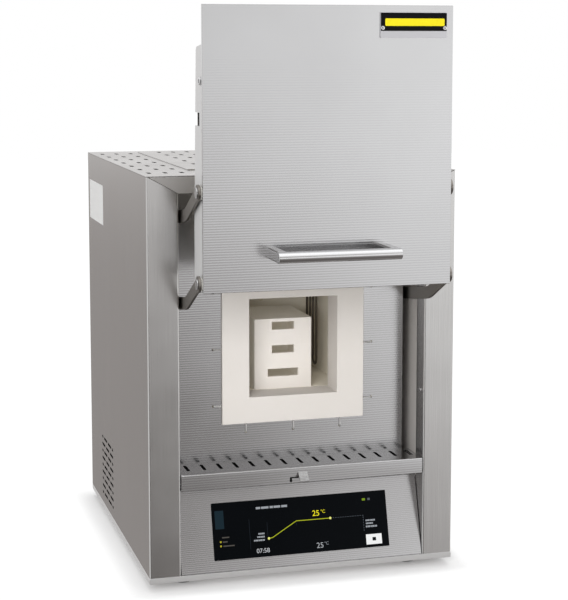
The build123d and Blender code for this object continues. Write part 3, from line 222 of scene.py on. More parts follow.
def slab(shape, plane, centre, size, thickness, corner=0.0):
    """Thin plate on a plane: centre and size along the plane, its four corners rounded."""
    place = plane @ Matrix.Translation((centre[0], centre[1], thickness / 2))
    grown = place @ Matrix.Diagonal((size[0], size[1], thickness, 1))
    made = bmesh.ops.create_cube(shape, size=1.0, matrix=grown)
    if corner:
        normal = plane.to_3x3() @ Z
        upright = set()
        for vert in made["verts"]:
            for edge in vert.link_edges:
                way = (edge.verts[1].co - edge.verts[0].co).normalized()
                if abs(way.dot(normal)) > 0.99:
                    upright.add(edge)
        rounded(shape, sorted(upright, key=lambda e: e.index), corner, 4)


def drum(shape, foot, axis, radius, length, sides=32, rim=0.0):
    """Round bar or disc that starts at foot, its far rim rounded. Gives its far face."""
    turn = axis.to_track_quat("Z", "Y").to_matrix().to_4x4()
    turn.translation = foot + axis * (length / 2)
    made = bmesh.ops.create_cone(shape, cap_ends=True, cap_tris=False, segments=sides,
                                 radius1=radius, radius2=radius, depth=length, matrix=turn)
    faces = {face for vert in made["verts"] for face in vert.link_faces}
    far = max(faces, key=lambda face: face.calc_center_median().dot(axis))
    if rim:
        rounded(shape, list(far.edges), rim, 3)
        shape.faces.ensure_lookup_table()
        near_axis = [face for face in shape.faces
                     if len(face.verts) == sides
                     and (face.calc_center_median() - foot - axis * length).length < WELD * 10]
        far = near_axis[0]
    return far


# drive of a screw: shares of its head's radius and height, and the cross's slots
DRIVE_RADIUS = 0.58
DRIVE_DEPTH = 0.55
CROSS_SLOT = math.radians(18)
CROSS_WAIST = 0.42


def screw(shape, seat, axis, head_radius, head_height, shank_radius, shank_length, cross):
    """Screw whose head stands on seat, with a hexagon socket or a cross in it."""
    top = drum(shape, seat, axis, head_radius, head_height, sides=48, rim=0.3 * head_height)
    drum(shape, seat, -axis, shank_radius, shank_length)
    middle = top.calc_center_median()
    rim_radius = max((vert.co - middle).length for vert in top.verts)
    bmesh.ops.inset_individual(shape, faces=[top],
                               thickness=rim_radius - DRIVE_RADIUS * head_radius)
    for vert in top.verts:
        arm = vert.co - middle
        turned = axis.to_track_quat("Z", "Y").inverted() @ arm
        angle = math.atan2(turned.y, turned.x)
        if cross:
            off = abs((angle + math.pi / 4) % (math.pi / 2) - math.pi / 4)
            share = 1.0 if off < CROSS_SLOT else CROSS_WAIST
        else:
            off = (angle + math.pi / 6) % (math.pi / 3) - math.pi / 6
            share = math.cos(math.pi / 6) / math.cos(off)
        vert.co = middle + arm * share
    sunk = bmesh.ops.extrude_discrete_faces(shape, faces=[top])["faces"][0]
    bmesh.ops.translate(shape, verts=sunk.verts, vec=-axis * DRIVE_DEPTH * head_height)


def merge_curve(shape, line):
    """Turn a curve or a line of text into a mesh, inside a bmesh."""
    holder = bpy.data.objects.new(line.name, line)
    mesh = bpy.data.meshes.new_from_object(holder)
    shape.from_mesh(mesh)
    bpy.data.objects.remove(holder)
    bpy.data.curves.remove(line)
    bpy.data.meshes.remove(mesh)


def wire(shape, points, radius):
    """Round wire along points, its corners bent round, merged into a bmesh."""
    line = bpy.data.curves.new("wire", "CURVE")
    line.dimensions = "3D"
    line.bevel_depth = radius
    line.bevel_resolution = 3
    line.use_fill_caps = True
    line.resolution_u = 6
    spline = line.splines.new("NURBS")
    spline.points.add(len(points) - 1)
    for point, place in zip(spline.points, points):
        point.co = (*place, 1.0)
    spline.order_u = 3
    spline.use_endpoint_u = True
    merge_curve(shape, line)


# ---- sizes and colours that a user would change -------------------------------------------
def length(name, about, size):
    """Length that a user can change, its default given in millimetres."""
    return bpy.props.FloatProperty(
        name=name, description=about, default=size * MM, unit="LENGTH", precision=5)


def colour(name, about, hexcode):
    """Colour that a user can change, its default given as an sRGB hex value."""
    return bpy.props.FloatVectorProperty(
        name=name, description=about, default=linear(hexcode)[:3], subtype="COLOR")


class FurnaceSizes(bpy.types.PropertyGroup):
    """Real sizes of the patterns and of the rounded edges."""
    fold: length("Fold", "Outer radius of the folded sheets", 1.4)
    sheet_edge: length("Sheet edge", "Rounding of cut and folded sheet edges", 0.35)
    board_edge: length("Fibre board edge", "Wear along the edges of the fibre board", 1.1)
    ceramic_edge: length("Sagger edge", "Rounding of the pressed ceramic's edges", 0.35)
    linen_pitch: length("Linen pitch", "Distance between the embossed rows", 2.9)
    brush_pitch: length("Brush pitch", "Distance between brushing streaks", 1.5)
    clip_wire: length("Clip wire", "Diameter of the wire clips round the collar", 1.5)


class FurnaceColours(bpy.types.PropertyGroup):
    """Colours of the finishes."""
    linen_steel: colour("Linen steel", "Embossed stainless sheet", "#C5C5C6")
    brushed_steel: colour("Brushed steel", "Brushed stainless sheet", "#C6C5C4")
    fibre: colour("Fibre board", "Ceramic fibre board", "#CFCAC5")
    sagger: colour("Sagger", "Fired alumina", "#DCD7D3")
    plate_band: colour("Plate band", "Enamelled band on the plate", "#E2D21C")


# ---- finishes -----------------------------------------------------------------------------
def tint(colour):
    """Linear colour with alpha of an sRGB hex value, or of the user's colour of that name."""
    if colour.startswith("#"):
        return linear(colour)
    return (*getattr(bpy.context.scene.furnace_colours, colour), 1.0)


def grained(tree, colour, gloss_by, gloss, height, depth, strength=0.3, **sockets):
    """Surface whose gloss follows one pattern, between two values, and its relief another."""
    polish = add_node(tree, "ShaderNodeMapRange", {
        "Value": gloss_by, "From Min": 0.3, "From Max": 0.7,
        "To Min": gloss[0], "To Max": gloss[1]})
    relief = add_node(tree, "ShaderNodeBump", {
        "Height": height, "Strength": strength, "Distance": depth})
    named = {name.replace("_", " "): value for name, value in sockets.items()}
    return add_node(tree, "ShaderNodeBsdfPrincipled", {
        "Base Color": colour, "Roughness": polish,
        "Normal": relief, **named})


STREAK_LENGTH = 90  # brush pitches along a streak


def brushed_stainless(grain, label=False):
    """Cold-rolled stainless sheet, belt-brushed: soft streaks along one way, smudged by handling.

    The real streaks are 0.1 mm apart; they are drawn at the brush pitch so that they show.
    """
    ending = "_labelled" if label else ""
    material, tree, place = new_material(f"stainless_brushed_along_{grain.lower()}{ending}")
    across = 1 / bpy.context.scene.furnace_sizes.brush_pitch
    along = across / STREAK_LENGTH
    scale = [along if axis == grain else across for axis in "XYZ"]
    stretched = add_node(tree, "ShaderNodeMapping", {"Vector": place, "Scale": scale})
    streaks = add_node(tree, "ShaderNodeTexNoise", {
        "Vector": stretched, "Scale": 1.0, "Detail": 3.0, "Roughness": 0.65})
    smudges = add_node(tree, "ShaderNodeTexNoise", {
        "Vector": place, "Scale": 9.0, "Detail": 4.0, "Roughness": 0.55})
    tone = add_node(tree, "ShaderNodeMapRange", {
        "Value": streaks, "From Min": 0.3, "From Max": 0.7,
        "To Min": 0.95, "To Max": 1.04})
    body = add_node(tree, "ShaderNodeMix", {
        0: 1.0, 6: tint("brushed_steel"), 7: tone},
        data_type="RGBA", blend_type="MULTIPLY")
    surface = grained(tree, body.outputs[2], smudges, (0.19, 0.27),
                      streaks, 0.05 * MM, Metallic=1.0)
    if label:
        surface = plain_sticker_over(tree, place, surface)
    add_node(tree, "ShaderNodeOutputMaterial", {"Surface": surface})
    return material


LABEL_FROM_BACK = 12 * MM
LABEL_FROM_TOP = 36 * MM
LABEL_WIDTH = 112 * MM
LABEL_HEIGHT = 54 * MM


def plain_sticker_over(tree, place, surface):
    """Blank white vinyl sticker near the top rear corner of the left side panel."""
    low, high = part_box("left_side_panel")
    middle = Vector((low.x, high.y - LABEL_FROM_BACK - LABEL_WIDTH / 2,
                     high.z - LABEL_FROM_TOP - LABEL_HEIGHT / 2))
    half = (1 * MM, LABEL_WIDTH / 2, LABEL_HEIGHT / 2)
    apart = add_node(tree, "ShaderNodeSeparateXYZ", {"Vector": place})
    inside = 1.0
    for axis in range(3):
        near = add_node(tree, "ShaderNodeMath", {
            0: apart.outputs[axis], 1: middle[axis], 2: half[axis]}, operation="COMPARE")
        inside = add_node(tree, "ShaderNodeMath", {
            0: inside, 1: near}, operation="MULTIPLY")
    grain = add_node(tree, "ShaderNodeTexNoise", {
        "Vector": place, "Scale": 1 / (2 * MM), "Detail": 2.0})
    relief = add_node(tree, "ShaderNodeBump", {
        "Height": grain, "Strength": 0.1, "Distance": 0.02 * MM})
    vinyl = add_node(tree, "ShaderNodeBsdfPrincipled", {
        "Base Color": linear("#DEDEDD"), "Roughness": 0.4, "IOR": 1.5,
        "Normal": relief})
    both = add_node(tree, "ShaderNodeMixShader", {0: inside, 1: surface, 2: vinyl})
    return both


def linen_embossed_stainless():
    """Stainless sheet rolled with a linen relief: fine level ribs, broken up into dashes.

    The ribs only tilt the surface, so they show where the reflected room changes tone.
    """
    pitch = bpy.context.scene.furnace_sizes.linen_pitch
    material, tree, place = new_material("stainless_linen_embossed")
    apart = add_node(tree, "ShaderNodeSeparateXYZ", {"Vector": place})
    # ribs run across the sheet, on upright and on level faces alike
    rise = add_node(tree, "ShaderNodeMath", {0: apart.outputs["Z"], 1: apart.outputs["Y"]},
                    operation="ADD")
    laid = add_node(tree, "ShaderNodeCombineXYZ", {
        "X": apart.outputs["X"], "Y": rise, "Z": 0.0})
    # a wave texture's bands lie tau / 20 apart at scale 1
    ribs = add_node(tree, "ShaderNodeTexWave", {
        "Vector": laid, "Scale": math.tau / (20 * pitch)}, bands_direction="Y")
    run = 1 / (5 * pitch)
    shrunk = add_node(tree, "ShaderNodeMapping", {
        "Vector": laid, "Scale": (run, 8 * run, 1.0)})
    dashes = add_node(tree, "ShaderNodeTexNoise", {
        "Vector": shrunk, "Scale": 1.0, "Detail": 2.0, "Roughness": 0.5})
    height = add_node(tree, "ShaderNodeMath", {
        0: dashes, 1: 0.5, 2: ribs.outputs["Fac"]}, operation="MULTIPLY_ADD")
    smudges = add_node(tree, "ShaderNodeTexNoise", {
        "Vector": place, "Scale": 7.0, "Detail": 3.0, "Roughness": 0.5})
    surface = grained(tree, tint("linen_steel"), smudges, (0.17, 0.22),
                      height, 0.021 * MM, 1.0, Metallic=1.0)
    add_node(tree, "ShaderNodeOutputMaterial", {"Surface": surface})
    return material


def one_grain(name, colour, wear, pitch, detail, gloss, depth, **sockets):
    """Finish with a single grain, which mottles the colour, the gloss and the relief together."""
    material, tree, place = new_material(name)
    marks = add_node(tree, "ShaderNodeTexNoise", {
        "Vector": place, "Scale": 1 / pitch, "Detail": detail, "Roughness": 0.6})
    dark = [share * (1 - wear) for share in tint(colour)[:3]] + [1.0]
    body = add_node(tree, "ShaderNodeMix", {
        0: marks, 6: dark, 7: tint(colour)}, data_type="RGBA")
    surface = grained(tree, body.outputs[2], marks, gloss,
                      marks, depth, **sockets)
    add_node(tree, "ShaderNodeOutputMaterial", {"Surface": surface})
    return material


def metal(name, colour, roughness, wear, pitch, depth):
    """Solid metal with tool marks of one pitch: ground, drawn, turned, burnished or cast."""
    gloss = (roughness * 0.85, roughness * 1.2)
    return one_grain(name, colour, wear, pitch, 4.0, gloss, depth, Metallic=1.0)


def moulded(name, colour, roughness, pitch, depth, shine=0.5):
    """Moulded plastic, rubber, laminate or the black sheet of painted shade, with its grain."""
    gloss = (roughness * 0.9, roughness * 1.1)
    return one_grain(name, colour, 0.2, pitch, 3.0, gloss, depth, IOR=1.5,
                     Specular_IOR_Level=shine)


def mineral(name, colour, shade, fibre_pitch, pit_pitch, depth, roughness, glow=0.0):
    """Dry mineral body: a fine grain, clouds of a darker shade and scattered pits; any glow is
    painted light, a faint emission that lifts the shade in its slots and hollows.
    """
    material, tree, place = new_material(name)
    fibres = add_node(tree, "ShaderNodeTexNoise", {
        "Vector": place, "Scale": 1 / fibre_pitch, "Detail": 6.0, "Roughness": 0.7,
        "Distortion": 1.2})
    clouds = add_node(tree, "ShaderNodeTexNoise", {
        "Vector": place, "Scale": 14.0, "Detail": 3.0, "Roughness": 0.5})
    pits = add_node(tree, "ShaderNodeTexVoronoi", {"Vector": place, "Scale": 1 / pit_pitch})
    cloud_share = add_node(tree, "ShaderNodeMapRange", {
        "Value": clouds, "From Min": 0.35, "From Max": 0.75,
        "To Min": 0.0, "To Max": 0.5})
    body = add_node(tree, "ShaderNodeMix", {
        0: cloud_share, 6: tint(colour), 7: tint(shade)}, data_type="RGBA")
    pit_share = add_node(tree, "ShaderNodeMapRange", {
        "Value": pits, "From Min": 0.05, "From Max": 0.22})
    height = add_node(tree, "ShaderNodeMath", {
        0: fibres, 1: pit_share}, operation="ADD")
    relief = add_node(tree, "ShaderNodeBump", {
        "Height": height, "Strength": 0.4, "Distance": depth})
    # the emission is painted light: the body does not glow, it only lifts the shade in slots and
    # hollows
    shader = add_node(tree, "ShaderNodeBsdfPrincipled", {
        "Base Color": body.outputs[2], "Roughness": roughness, "IOR": 1.5,
        "Specular IOR Level": 0.25, "Normal": relief,
        "Emission Color": linear("#F2EAD2"), "Emission Strength": glow})
    add_node(tree, "ShaderNodeOutputMaterial", {"Surface": shader})
    return material


def back_printed_glass():
    """Float glass printed black from behind: deep, flat and glossy."""
    material, tree, place = new_material("glass_float_printed_black")
    film = add_node(tree, "ShaderNodeTexNoise", {
        "Vector": place, "Scale": 25.0, "Detail": 5.0, "Roughness": 0.6})
    gloss = add_node(tree, "ShaderNodeMapRange", {
        "Value": film, "From Min": 0.35, "From Max": 0.7,
        "To Min": 0.04, "To Max": 0.09})
    depth_tone = add_node(tree, "ShaderNodeMix", {
        0: film, 6: linear("#050709"), 7: linear("#080A0D")}, data_type="RGBA")
    shader = add_node(tree, "ShaderNodeBsdfPrincipled", {
        "Base Color": depth_tone.outputs[2], "Roughness": gloss, "IOR": 1.5,
        "Specular IOR Level": 0.04})
    add_node(tree, "ShaderNodeOutputMaterial", {"Surface": shader})
    return material


PIXEL_PITCH = 0.35 * MM


def lit_pixels(hexcode, strength):
    """Colour of a lit liquid crystal screen, with its fine rows of pixels."""
    material, tree, place = new_material(f"screen_lit_{hexcode[1:].lower()}")
    rows = add_node(tree, "ShaderNodeTexWave", {
        "Vector": place, "Scale": math.tau / (20 * PIXEL_PITCH)}, bands_direction="Z")
    glow = add_node(tree, "ShaderNodeMapRange", {
        "Value": rows.outputs["Fac"], "To Min": 0.82 * strength, "To Max": strength})
    light = add_node(tree, "ShaderNodeEmission", {
        "Color": linear(hexcode), "Strength": glow})
    add_node(tree, "ShaderNodeOutputMaterial", {"Surface": light})
    return material


def floor_paint():
    """Seamless matt white studio floor."""
    material, tree, place = new_material("floor_painted_matt_white")
    roll = add_node(tree, "ShaderNodeTexNoise", {"Vector": place, "Scale": 3.0, "Detail": 2.0})
    tone = add_node(tree, "ShaderNodeMix", {
        0: roll, 6: linear("#F6F6F6"), 7: linear("#F9F9F9")}, data_type="RGBA")
    matt = add_node(tree, "ShaderNodeBsdfDiffuse", {"Color": tone.outputs[2]})
    rays = add_node(tree, "ShaderNodeLightPath")
    seen = rays.outputs["Is Camera Ray"]
    for ray in ("Is Glossy Ray", "Is Transmission Ray"):
        seen = add_node(tree, "ShaderNodeMath", {0: seen, 1: rays.outputs[ray]},
                        operation="ADD", use_clamp=True)
    # distance from the footprint: past a few centimetres the sweep is evenly white
    low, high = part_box("base_tray")
    half = (high - low) / 2
    middle = (high + low) / 2
    beyond = place
    for operation, other in (("SUBTRACT", (middle.x, middle.y, 0.0)), ("ABSOLUTE", (0, 0, 0)),
                             ("SUBTRACT", (half.x, half.y, 1.0)), ("MAXIMUM", (0, 0, 0))):
        beyond = add_node(tree, "ShaderNodeVectorMath", {0: beyond, 1: other},
                          operation=operation)
    reach = add_node(tree, "ShaderNodeVectorMath", {0: beyond}, operation="LENGTH")
    fade = add_node(tree, "ShaderNodeMapRange", {
        "Value": reach.outputs["Value"], "From Min": 0.0, "From Max": 0.04,
        "To Min": 0.1, "To Max": 1.0}, interpolation_type="SMOOTHERSTEP")
    share = add_node(tree, "ShaderNodeMath", {0: seen, 1: fade},
                     operation="MULTIPLY")
    white = add_node(tree, "ShaderNodeEmission", {"Color": linear("#FFFFFF"), "Strength": 1.06})
    both = add_node(tree, "ShaderNodeMixShader", {
        0: share, 1: matt, 2: white})
    add_node(tree, "ShaderNodeOutputMaterial", {"Surface": both})
    return material


# each finish: its maker and what that is given. One that is named for a material slot is
# what the nodes of that slot have
FINISHES = {
    "textured_stainless": (linen_embossed_stainless,),
    "brushed_stainless": (brushed_stainless, "Z"),
    "satin_stainless": (brushed_stainless, "X"),
    "inward_stainless": (brushed_stainless, "Y"),
    "labelled_stainless": (brushed_stainless, "Z", True),
    "display_black_glass": (back_printed_glass,),
    # turned and polished bar: bright, with a trace of fine scratches
    "polished_steel": (metal, "stainless_ground_and_polished", "#D9D9DA", 0.16, 0.08,
                       0.8 * MM, 0.01 * MM),
    # bright drawn stainless wire
    "clip_wire": (metal, "stainless_drawn_wire", "#FAF9F7", 0.5, 0.03, 0.6 * MM, 0.01 * MM),
    # oiled, burnished steel of the door arms: a little mottled
    "dark_steel": (metal, "steel_burnished", "#9A958F", 0.36, 0.35, 6 * MM, 0.05 * MM),
    # glass-bead blasted sheet of the arm walls: matt, without streaks
    "blasted": (metal, "stainless_bead_blasted", "#C4C0BC", 0.78, 0.06, 0.5 * MM, 0.02 * MM),
    # the same, made paler for the right arm wall: painted light, so that it reads as lit
    "right_wall_blasted_painted_light": (metal, "stainless_bead_blasted_pale", "#F4F1EE", 0.85, 0.04,
                     0.5 * MM, 0.02 * MM),
    # satin-ground sheet of the header, paler than the other stainless: painted light against the
    # shade under the top cover; even, a little soft
    "header_satin_painted_light": (metal, "stainless_satin_ground_fine", "#E4E2E0", 0.5, 0.05,
                   0.7 * MM, 0.02 * MM),
    # satin-ground sheet of tray and door sides, paler than the other stainless: painted light, so
    # that they read brightly lit; even, it takes light from all round
    "pale_satin_painted_light": (metal, "stainless_satin_ground", "#ECECEC", 0.55, 0.05, 0.7 * MM, 0.02 * MM),
    # hot-dip galvanised sheet of the inner casing: grey, cloudy
    "galvanised_steel": (metal, "steel_galvanised", "#9A9D9F", 0.42, 0.25, 9 * MM, 0.05 * MM),
    # extruded aluminium of heat sink and clamps: pale, dull
    "aluminium": (metal, "aluminium_extruded", "#C8C9CB", 0.35, 0.12, 1.5 * MM, 0.02 * MM),
    # silver-anodised strip under the plate's band: even, a little soft
    "plate": (metal, "aluminium_anodised_silver", "#DCDCE0", 0.4, 0.06, 0.8 * MM, 0.01 * MM),
    # turned brass contact pins: warm and bright
    "brass": (metal, "brass_turned", "#D8B76A", 0.25, 0.15, 0.5 * MM, 0.01 * MM),
    # stacked varnished core sheets of the transformer: dark, layered
    "core": (metal, "iron_laminated", "#4C4743", 0.5, 0.4, 0.9 * MM, 0.1 * MM),
    # vacuum-formed ceramic fibre board of the collar, a darker copy of the chamber's board as
    # painted shade: chalky cream, felted, with small pits
    "collar_fibre_painted_shade": (mineral, "ceramic_fibre_vacuum_formed", "fibre", "#C9C4BD", 1.6 * MM, 7 * MM,
                  0.2 * MM, 0.95),
    # the same board in the chamber, a whiter copy as painted light against the chamber's shade,
    # with a faint straw tint
    "fibre_board": (mineral, "ceramic_fibre_fired", "#EFE9DC", "#E6DFD0", 1.6 * MM, 7 * MM,
                    0.2 * MM, 0.95),
    # pressed and fired alumina of the saggers: pale, dense, very fine grain; its faint glow is
    # painted light that lifts the shade in its slots
    "sagger_ceramic": (mineral, "alumina_pressed_and_fired", "sagger", "#CFC9C0", 0.9 * MM,
                       11 * MM, 0.12 * MM, 0.8, 0.07),
    # extruded alumina of the thermocouple's sheath: cream, smooth
    "sheath_ceramic": (mineral, "alumina_extruded", "#DDD3BF", "#CBBFA8", 0.7 * MM, 9 * MM,
                       0.05 * MM, 0.5),
    # molybdenum disilicide of the heating elements, under its grey fired glaze
    "element": (mineral, "silicide_fired", "#5B544A", "#3B352E", 0.8 * MM, 3 * MM,
                0.08 * MM, 0.45),
    # glass-filled polyamide, moulded: matt black
    "black_plastic": (moulded, "polyamide_moulded_black", "#222224", 0.5, 0.8 * MM, 0.03 * MM),
    # moulded black rubber of the feet: dull
    "rubber": (moulded, "rubber_moulded_black", "#1C1C1D", 0.75, 1.2 * MM, 0.05 * MM),
    # turned PTFE bushes: waxy white
    "ptfe": (moulded, "ptfe_turned", "#D9D7D0", 0.35, 1.5 * MM, 0.01 * MM),
    # glass-epoxy circuit board under green solder resist: half gloss
    "board": (moulded, "glass_epoxy_laminated", "#1F5A36", 0.4, 2 * MM, 0.02 * MM),
    # black sheet behind the slots: painted shade, it swallows the light that would show through
    "felt": (moulded, "felt_needled_black", "#060607", 0.95, 0.8 * MM, 0.1 * MM, 0.05),
    # stoved enamels of the plate: smooth, hardly shiny
    "black_enamel": (moulded, "enamel_stoved_black", "#08080A", 0.5, 1 * MM, 0.01 * MM, 0.12),
    "band_enamel": (moulded, "enamel_stoved_yellow", "plate_band", 0.4, 1 * MM, 0.01 * MM, 0.2),
}
# nodes with another finish than their slot's
OWN_FINISHES = {
    "left_side_panel": "labelled_stainless",
    "front_header": "header_satin_painted_light",
    "base_tray": "pale_satin_painted_light",
    "left_door_side": "pale_satin_painted_light",
    "right_door_side": "pale_satin_painted_light",
    "top_cover": "inward_stainless",
    "top_plate": "inward_stainless",
    "door_inner_pan": "satin_stainless",
    "collar": "collar_fibre_painted_shade",
    "left_arm_wall": "blasted",
    "right_arm_wall": "right_wall_blasted_painted_light",
}
made_finishes = {}


def finish(name):
    """Material of a finish, built the first time that it is asked for."""
    if name not in made_finishes:
        maker, *settings = FINISHES[name]
        made_finishes[name] = maker(*settings)
    return made_finishes[name]


def finish_of(node):
    """Material of a CAD node: a finish of its own, or its slot's."""
    return finish(OWN_FINISHES.get(node, slot_of(node)))


# ---- pieces -------------------------------------------------------------------------------
class FURNACE_OT_round_sheet_metal(bpy.types.Operator):
    """Round the edges of the folded sheets, the arms and the handle's legs, and finish them"""
    bl_idname = "furnace.round_sheet_metal"
    bl_label = "Round Sheet Metal"

    long_edge = 30 * MM
    folded = ("door_skin", "shelf", "left_side_panel", "right_side_panel")
    cut = ("control_panel", "recess_panel", "front_header", "base_tray", "top_cover",
           "top_plate", "left_door_side", "right_door_side", "door_inner_pan")
    solid = ("lower_arms", "upper_arms", "nameplate", "handle_legs", "door_pivot_pins",
             "arm_pivot_studs")

    def execute(self, context):
        edge = context.scene.furnace_sizes.sheet_edge
        fold = context.scene.furnace_sizes.fold
        for node in self.folded:
            softened(node, fold, 2 * self.long_edge, segments=3, folds_only=True)
        for node in self.cut:
            softened(node, edge, self.long_edge)
        for node in self.solid:
            softened(node, edge, edge)
        return {"FINISHED"}


class FURNACE_OT_turn_handle(bpy.types.Operator):
    """Turn the half-round handle bar, smooth in front and flat behind"""
    bl_idname = "furnace.turn_handle"
    bl_label = "Turn Handle"

    corner_share = 0.3
    end_rounding = 0.5 * MM

    def execute(self, context):
        low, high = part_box("handle_bar")
        radius = (high.z - low.z) / 2
        middle = (low.z + high.z) / 2
        # the rear corners stay clear of where the half round begins
        straight = high.y - low.y - radius
        back = min(self.corner_share * radius, 0.45 * straight)
        shape = bmesh.new()
        outline = []
        for step in range(9):
            angle = -math.pi / 2 + math.pi / 2 * step / 8
            outline.append(Vector((low.x, high.y - back + back * math.cos(angle),
                                   low.z + back + back * math.sin(angle))))
        outline += [Vector((low.x, place.y, low.z + high.z - place.z))
                    for place in reversed(outline)]
        for step in range(25):
            angle = math.pi / 2 - math.pi * step / 24
            outline.append(Vector((low.x, low.y + radius - radius * math.cos(angle),
                                   middle + radius * math.sin(angle))))
        end = shape.faces.new([shape.verts.new(place) for place in outline])
        bar = bmesh.ops.extrude_face_region(shape, geom=[end])
        moved = [item for item in bar["geom"] if isinstance(item, bmesh.types.BMVert)]
        bmesh.ops.translate(shape, verts=moved, vec=X * (high.x - low.x))
        bmesh.ops.recalc_face_normals(shape, faces=shape.faces)
        rims = [edge for edge in shape.edges if edge.calc_face_angle(0) > SMOOTH_ANGLE]
        rounded(shape, rims, self.end_rounding, 3)
        stands_for("handle_bar", shape)
        return {"FINISHED"}


class FURNACE_OT_round_ceramics(bpy.types.Operator):
    """Round the edges of the fibre boards, the saggers and the feet, and give them their finish"""
    bl_idname = "furnace.round_ceramics"
    bl_label = "Round Ceramics"

    long_edge = 8 * MM

    def execute(self, context):
        board = context.scene.furnace_sizes.board_edge
        ceramic = context.scene.furnace_sizes.ceramic_edge
        for node in ("collar", "muffle_floor", "muffle_side_walls", "muffle_rear", "door_plug",
                     "door_insulation"):
            softened(node, board, self.long_edge, segments=3)
        for node in ("sagger_bottom", "sagger_middle", "sagger_top", "sagger_lid"):
            softened(node, ceramic, 3 * ceramic)
        softened("rubber_feet", board, ceramic)
        return {"FINISHED"}


class FURNACE_OT_line_vents(bpy.types.Operator):
    """Lay a black sheet behind the slots of the shelf and of the top cover, as painted shade that
    keeps the slots dark
    """
    bl_idname = "furnace.line_vents"
    bl_label = "Line Vents"

    sheet = 1.2 * MM
    gap = 0.3 * MM
    # thickness of the black sheet, which is painted shade
    felt = 0.6 * MM
    shelf_lip = 10 * MM
    side_room = 12 * MM
    end_room = 6 * MM

    def execute(self, context):
        for node in ("shelf", "top_cover"):
            low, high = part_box(node)
            front = low.y + (self.shelf_lip if node == "shelf" else 0.0)
            under = high.z - self.sheet - self.gap - self.felt
            width = high.x - low.x - self.side_room
            shape = bmesh.new()
            middle = Vector(((low.x + high.x) / 2, (front + high.y) / 2, under))
            slab(shape, Matrix.Translation(middle), (0, 0),
                 (width, high.y - front - self.end_room), self.felt)
            if node == "shelf":
                tall = high.z - low.z - 2 * self.sheet - 2 * MM
                behind = Vector((middle.x, front + self.sheet + self.gap + self.felt,
                                 (low.z + high.z) / 2))
                upright = Matrix.Translation(behind) @ Matrix.Rotation(math.pi / 2, 4, "X")
                slab(shape, upright, (0, 0), (width, tall), self.felt)
            finished(f"{node}_felt", shape, body_of(node), finish("felt"), "black_plastic")
        return {"FINISHED"}


class FURNACE_OT_fit_screws(bpy.types.Operator):
    """Fit screws with a socket or a cross in the head in place of the plain ones"""
    bl_idname = "furnace.fit_screws"
    bl_label = "Fit Screws"

    # shares of the length and of the head's radius, and the radius that a socket needs
    head_length = 0.22
    head_height = 0.62
    shank = 0.52
    socket_from = 4 * MM
    round_within = 0.4 * MM

    def execute(self, context):
        for node in ("door_screws", "case_screws"):
            shape = bmesh.new()
            for low, high in solids(node):
                self.turn_out(shape, node, low, high)
            stands_for(node, shape)
        return {"FINISHED"}

    def turn_out(self, shape, node, low, high):
        """Screw that fills one solid's box, its head where the solid's head is."""
        size = high - low
        middle = (low + high) / 2
        along = max(range(3), key=lambda axis: size[axis])
        pairs = [axis for axis in range(3) if axis != along]
        odd = min(range(3), key=lambda axis: abs(size[(axis + 1) % 3] - size[(axis + 2) % 3]))
        along = odd if abs(size[pairs[0]] - size[pairs[1]]) > self.round_within else along
        radius = size[(along + 1) % 3] / 2
        axis = (X, Y, Z)[along]
        outward = self.head_side(node, along, middle)
        head = min(self.head_length * size[along], self.head_height * radius)
        end = high[along] if outward > 0 else low[along]
        seat = middle.copy()
        seat[along] = end - outward * head
        screw(shape, seat, axis * outward, radius, head, self.shank * radius,
              size[along] - head - WELD, cross=radius < self.socket_from)

    def head_side(self, node, along, middle):
        """1 where the head looks along the axis, -1 where it looks back."""
        if along == 0:
            side = math.copysign(1, middle.x)
            return side if node == "door_screws" else -side
        if along == 2:
            return -1
        if node == "case_screws":
            return 1
        handle_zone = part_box("handle_bar")[1].z
        return 1 if middle.z < handle_zone else -1


class FURNACE_OT_bend_wire_clips(bpy.types.Operator):
    """Bend the round wire clips that hold the collar in the recess panel"""
    bl_idname = "furnace.bend_wire_clips"
    bl_label = "Bend Wire Clips"

    def execute(self, context):
        radius = context.scene.furnace_sizes.clip_wire / 2
        collar_low, collar_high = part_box("collar")
        collar_middle = (collar_low + collar_high) / 2
        shape = bmesh.new()
        for low, high in solids("wire_clips"):
            middle = (low + high) / 2
            size = high - low
            sideways = size.x > size.z
            way = X if sideways else Z
            outward = math.copysign(1, (middle - collar_middle).dot(way))
            reach = way * outward * (size.dot(way) / 2 - radius)
            front = low.y + radius
            inner = Vector((middle.x, front, middle.z)) - reach
            outer = Vector((middle.x, front, middle.z)) + reach
            bend = Y * (size.y - 2 * radius)
            wire(shape, (inner, inner + (outer - inner) * 0.4, outer, outer + bend * 0.35,
                         outer + bend), radius)
        stands_for("wire_clips", shape)
        return {"FINISHED"}


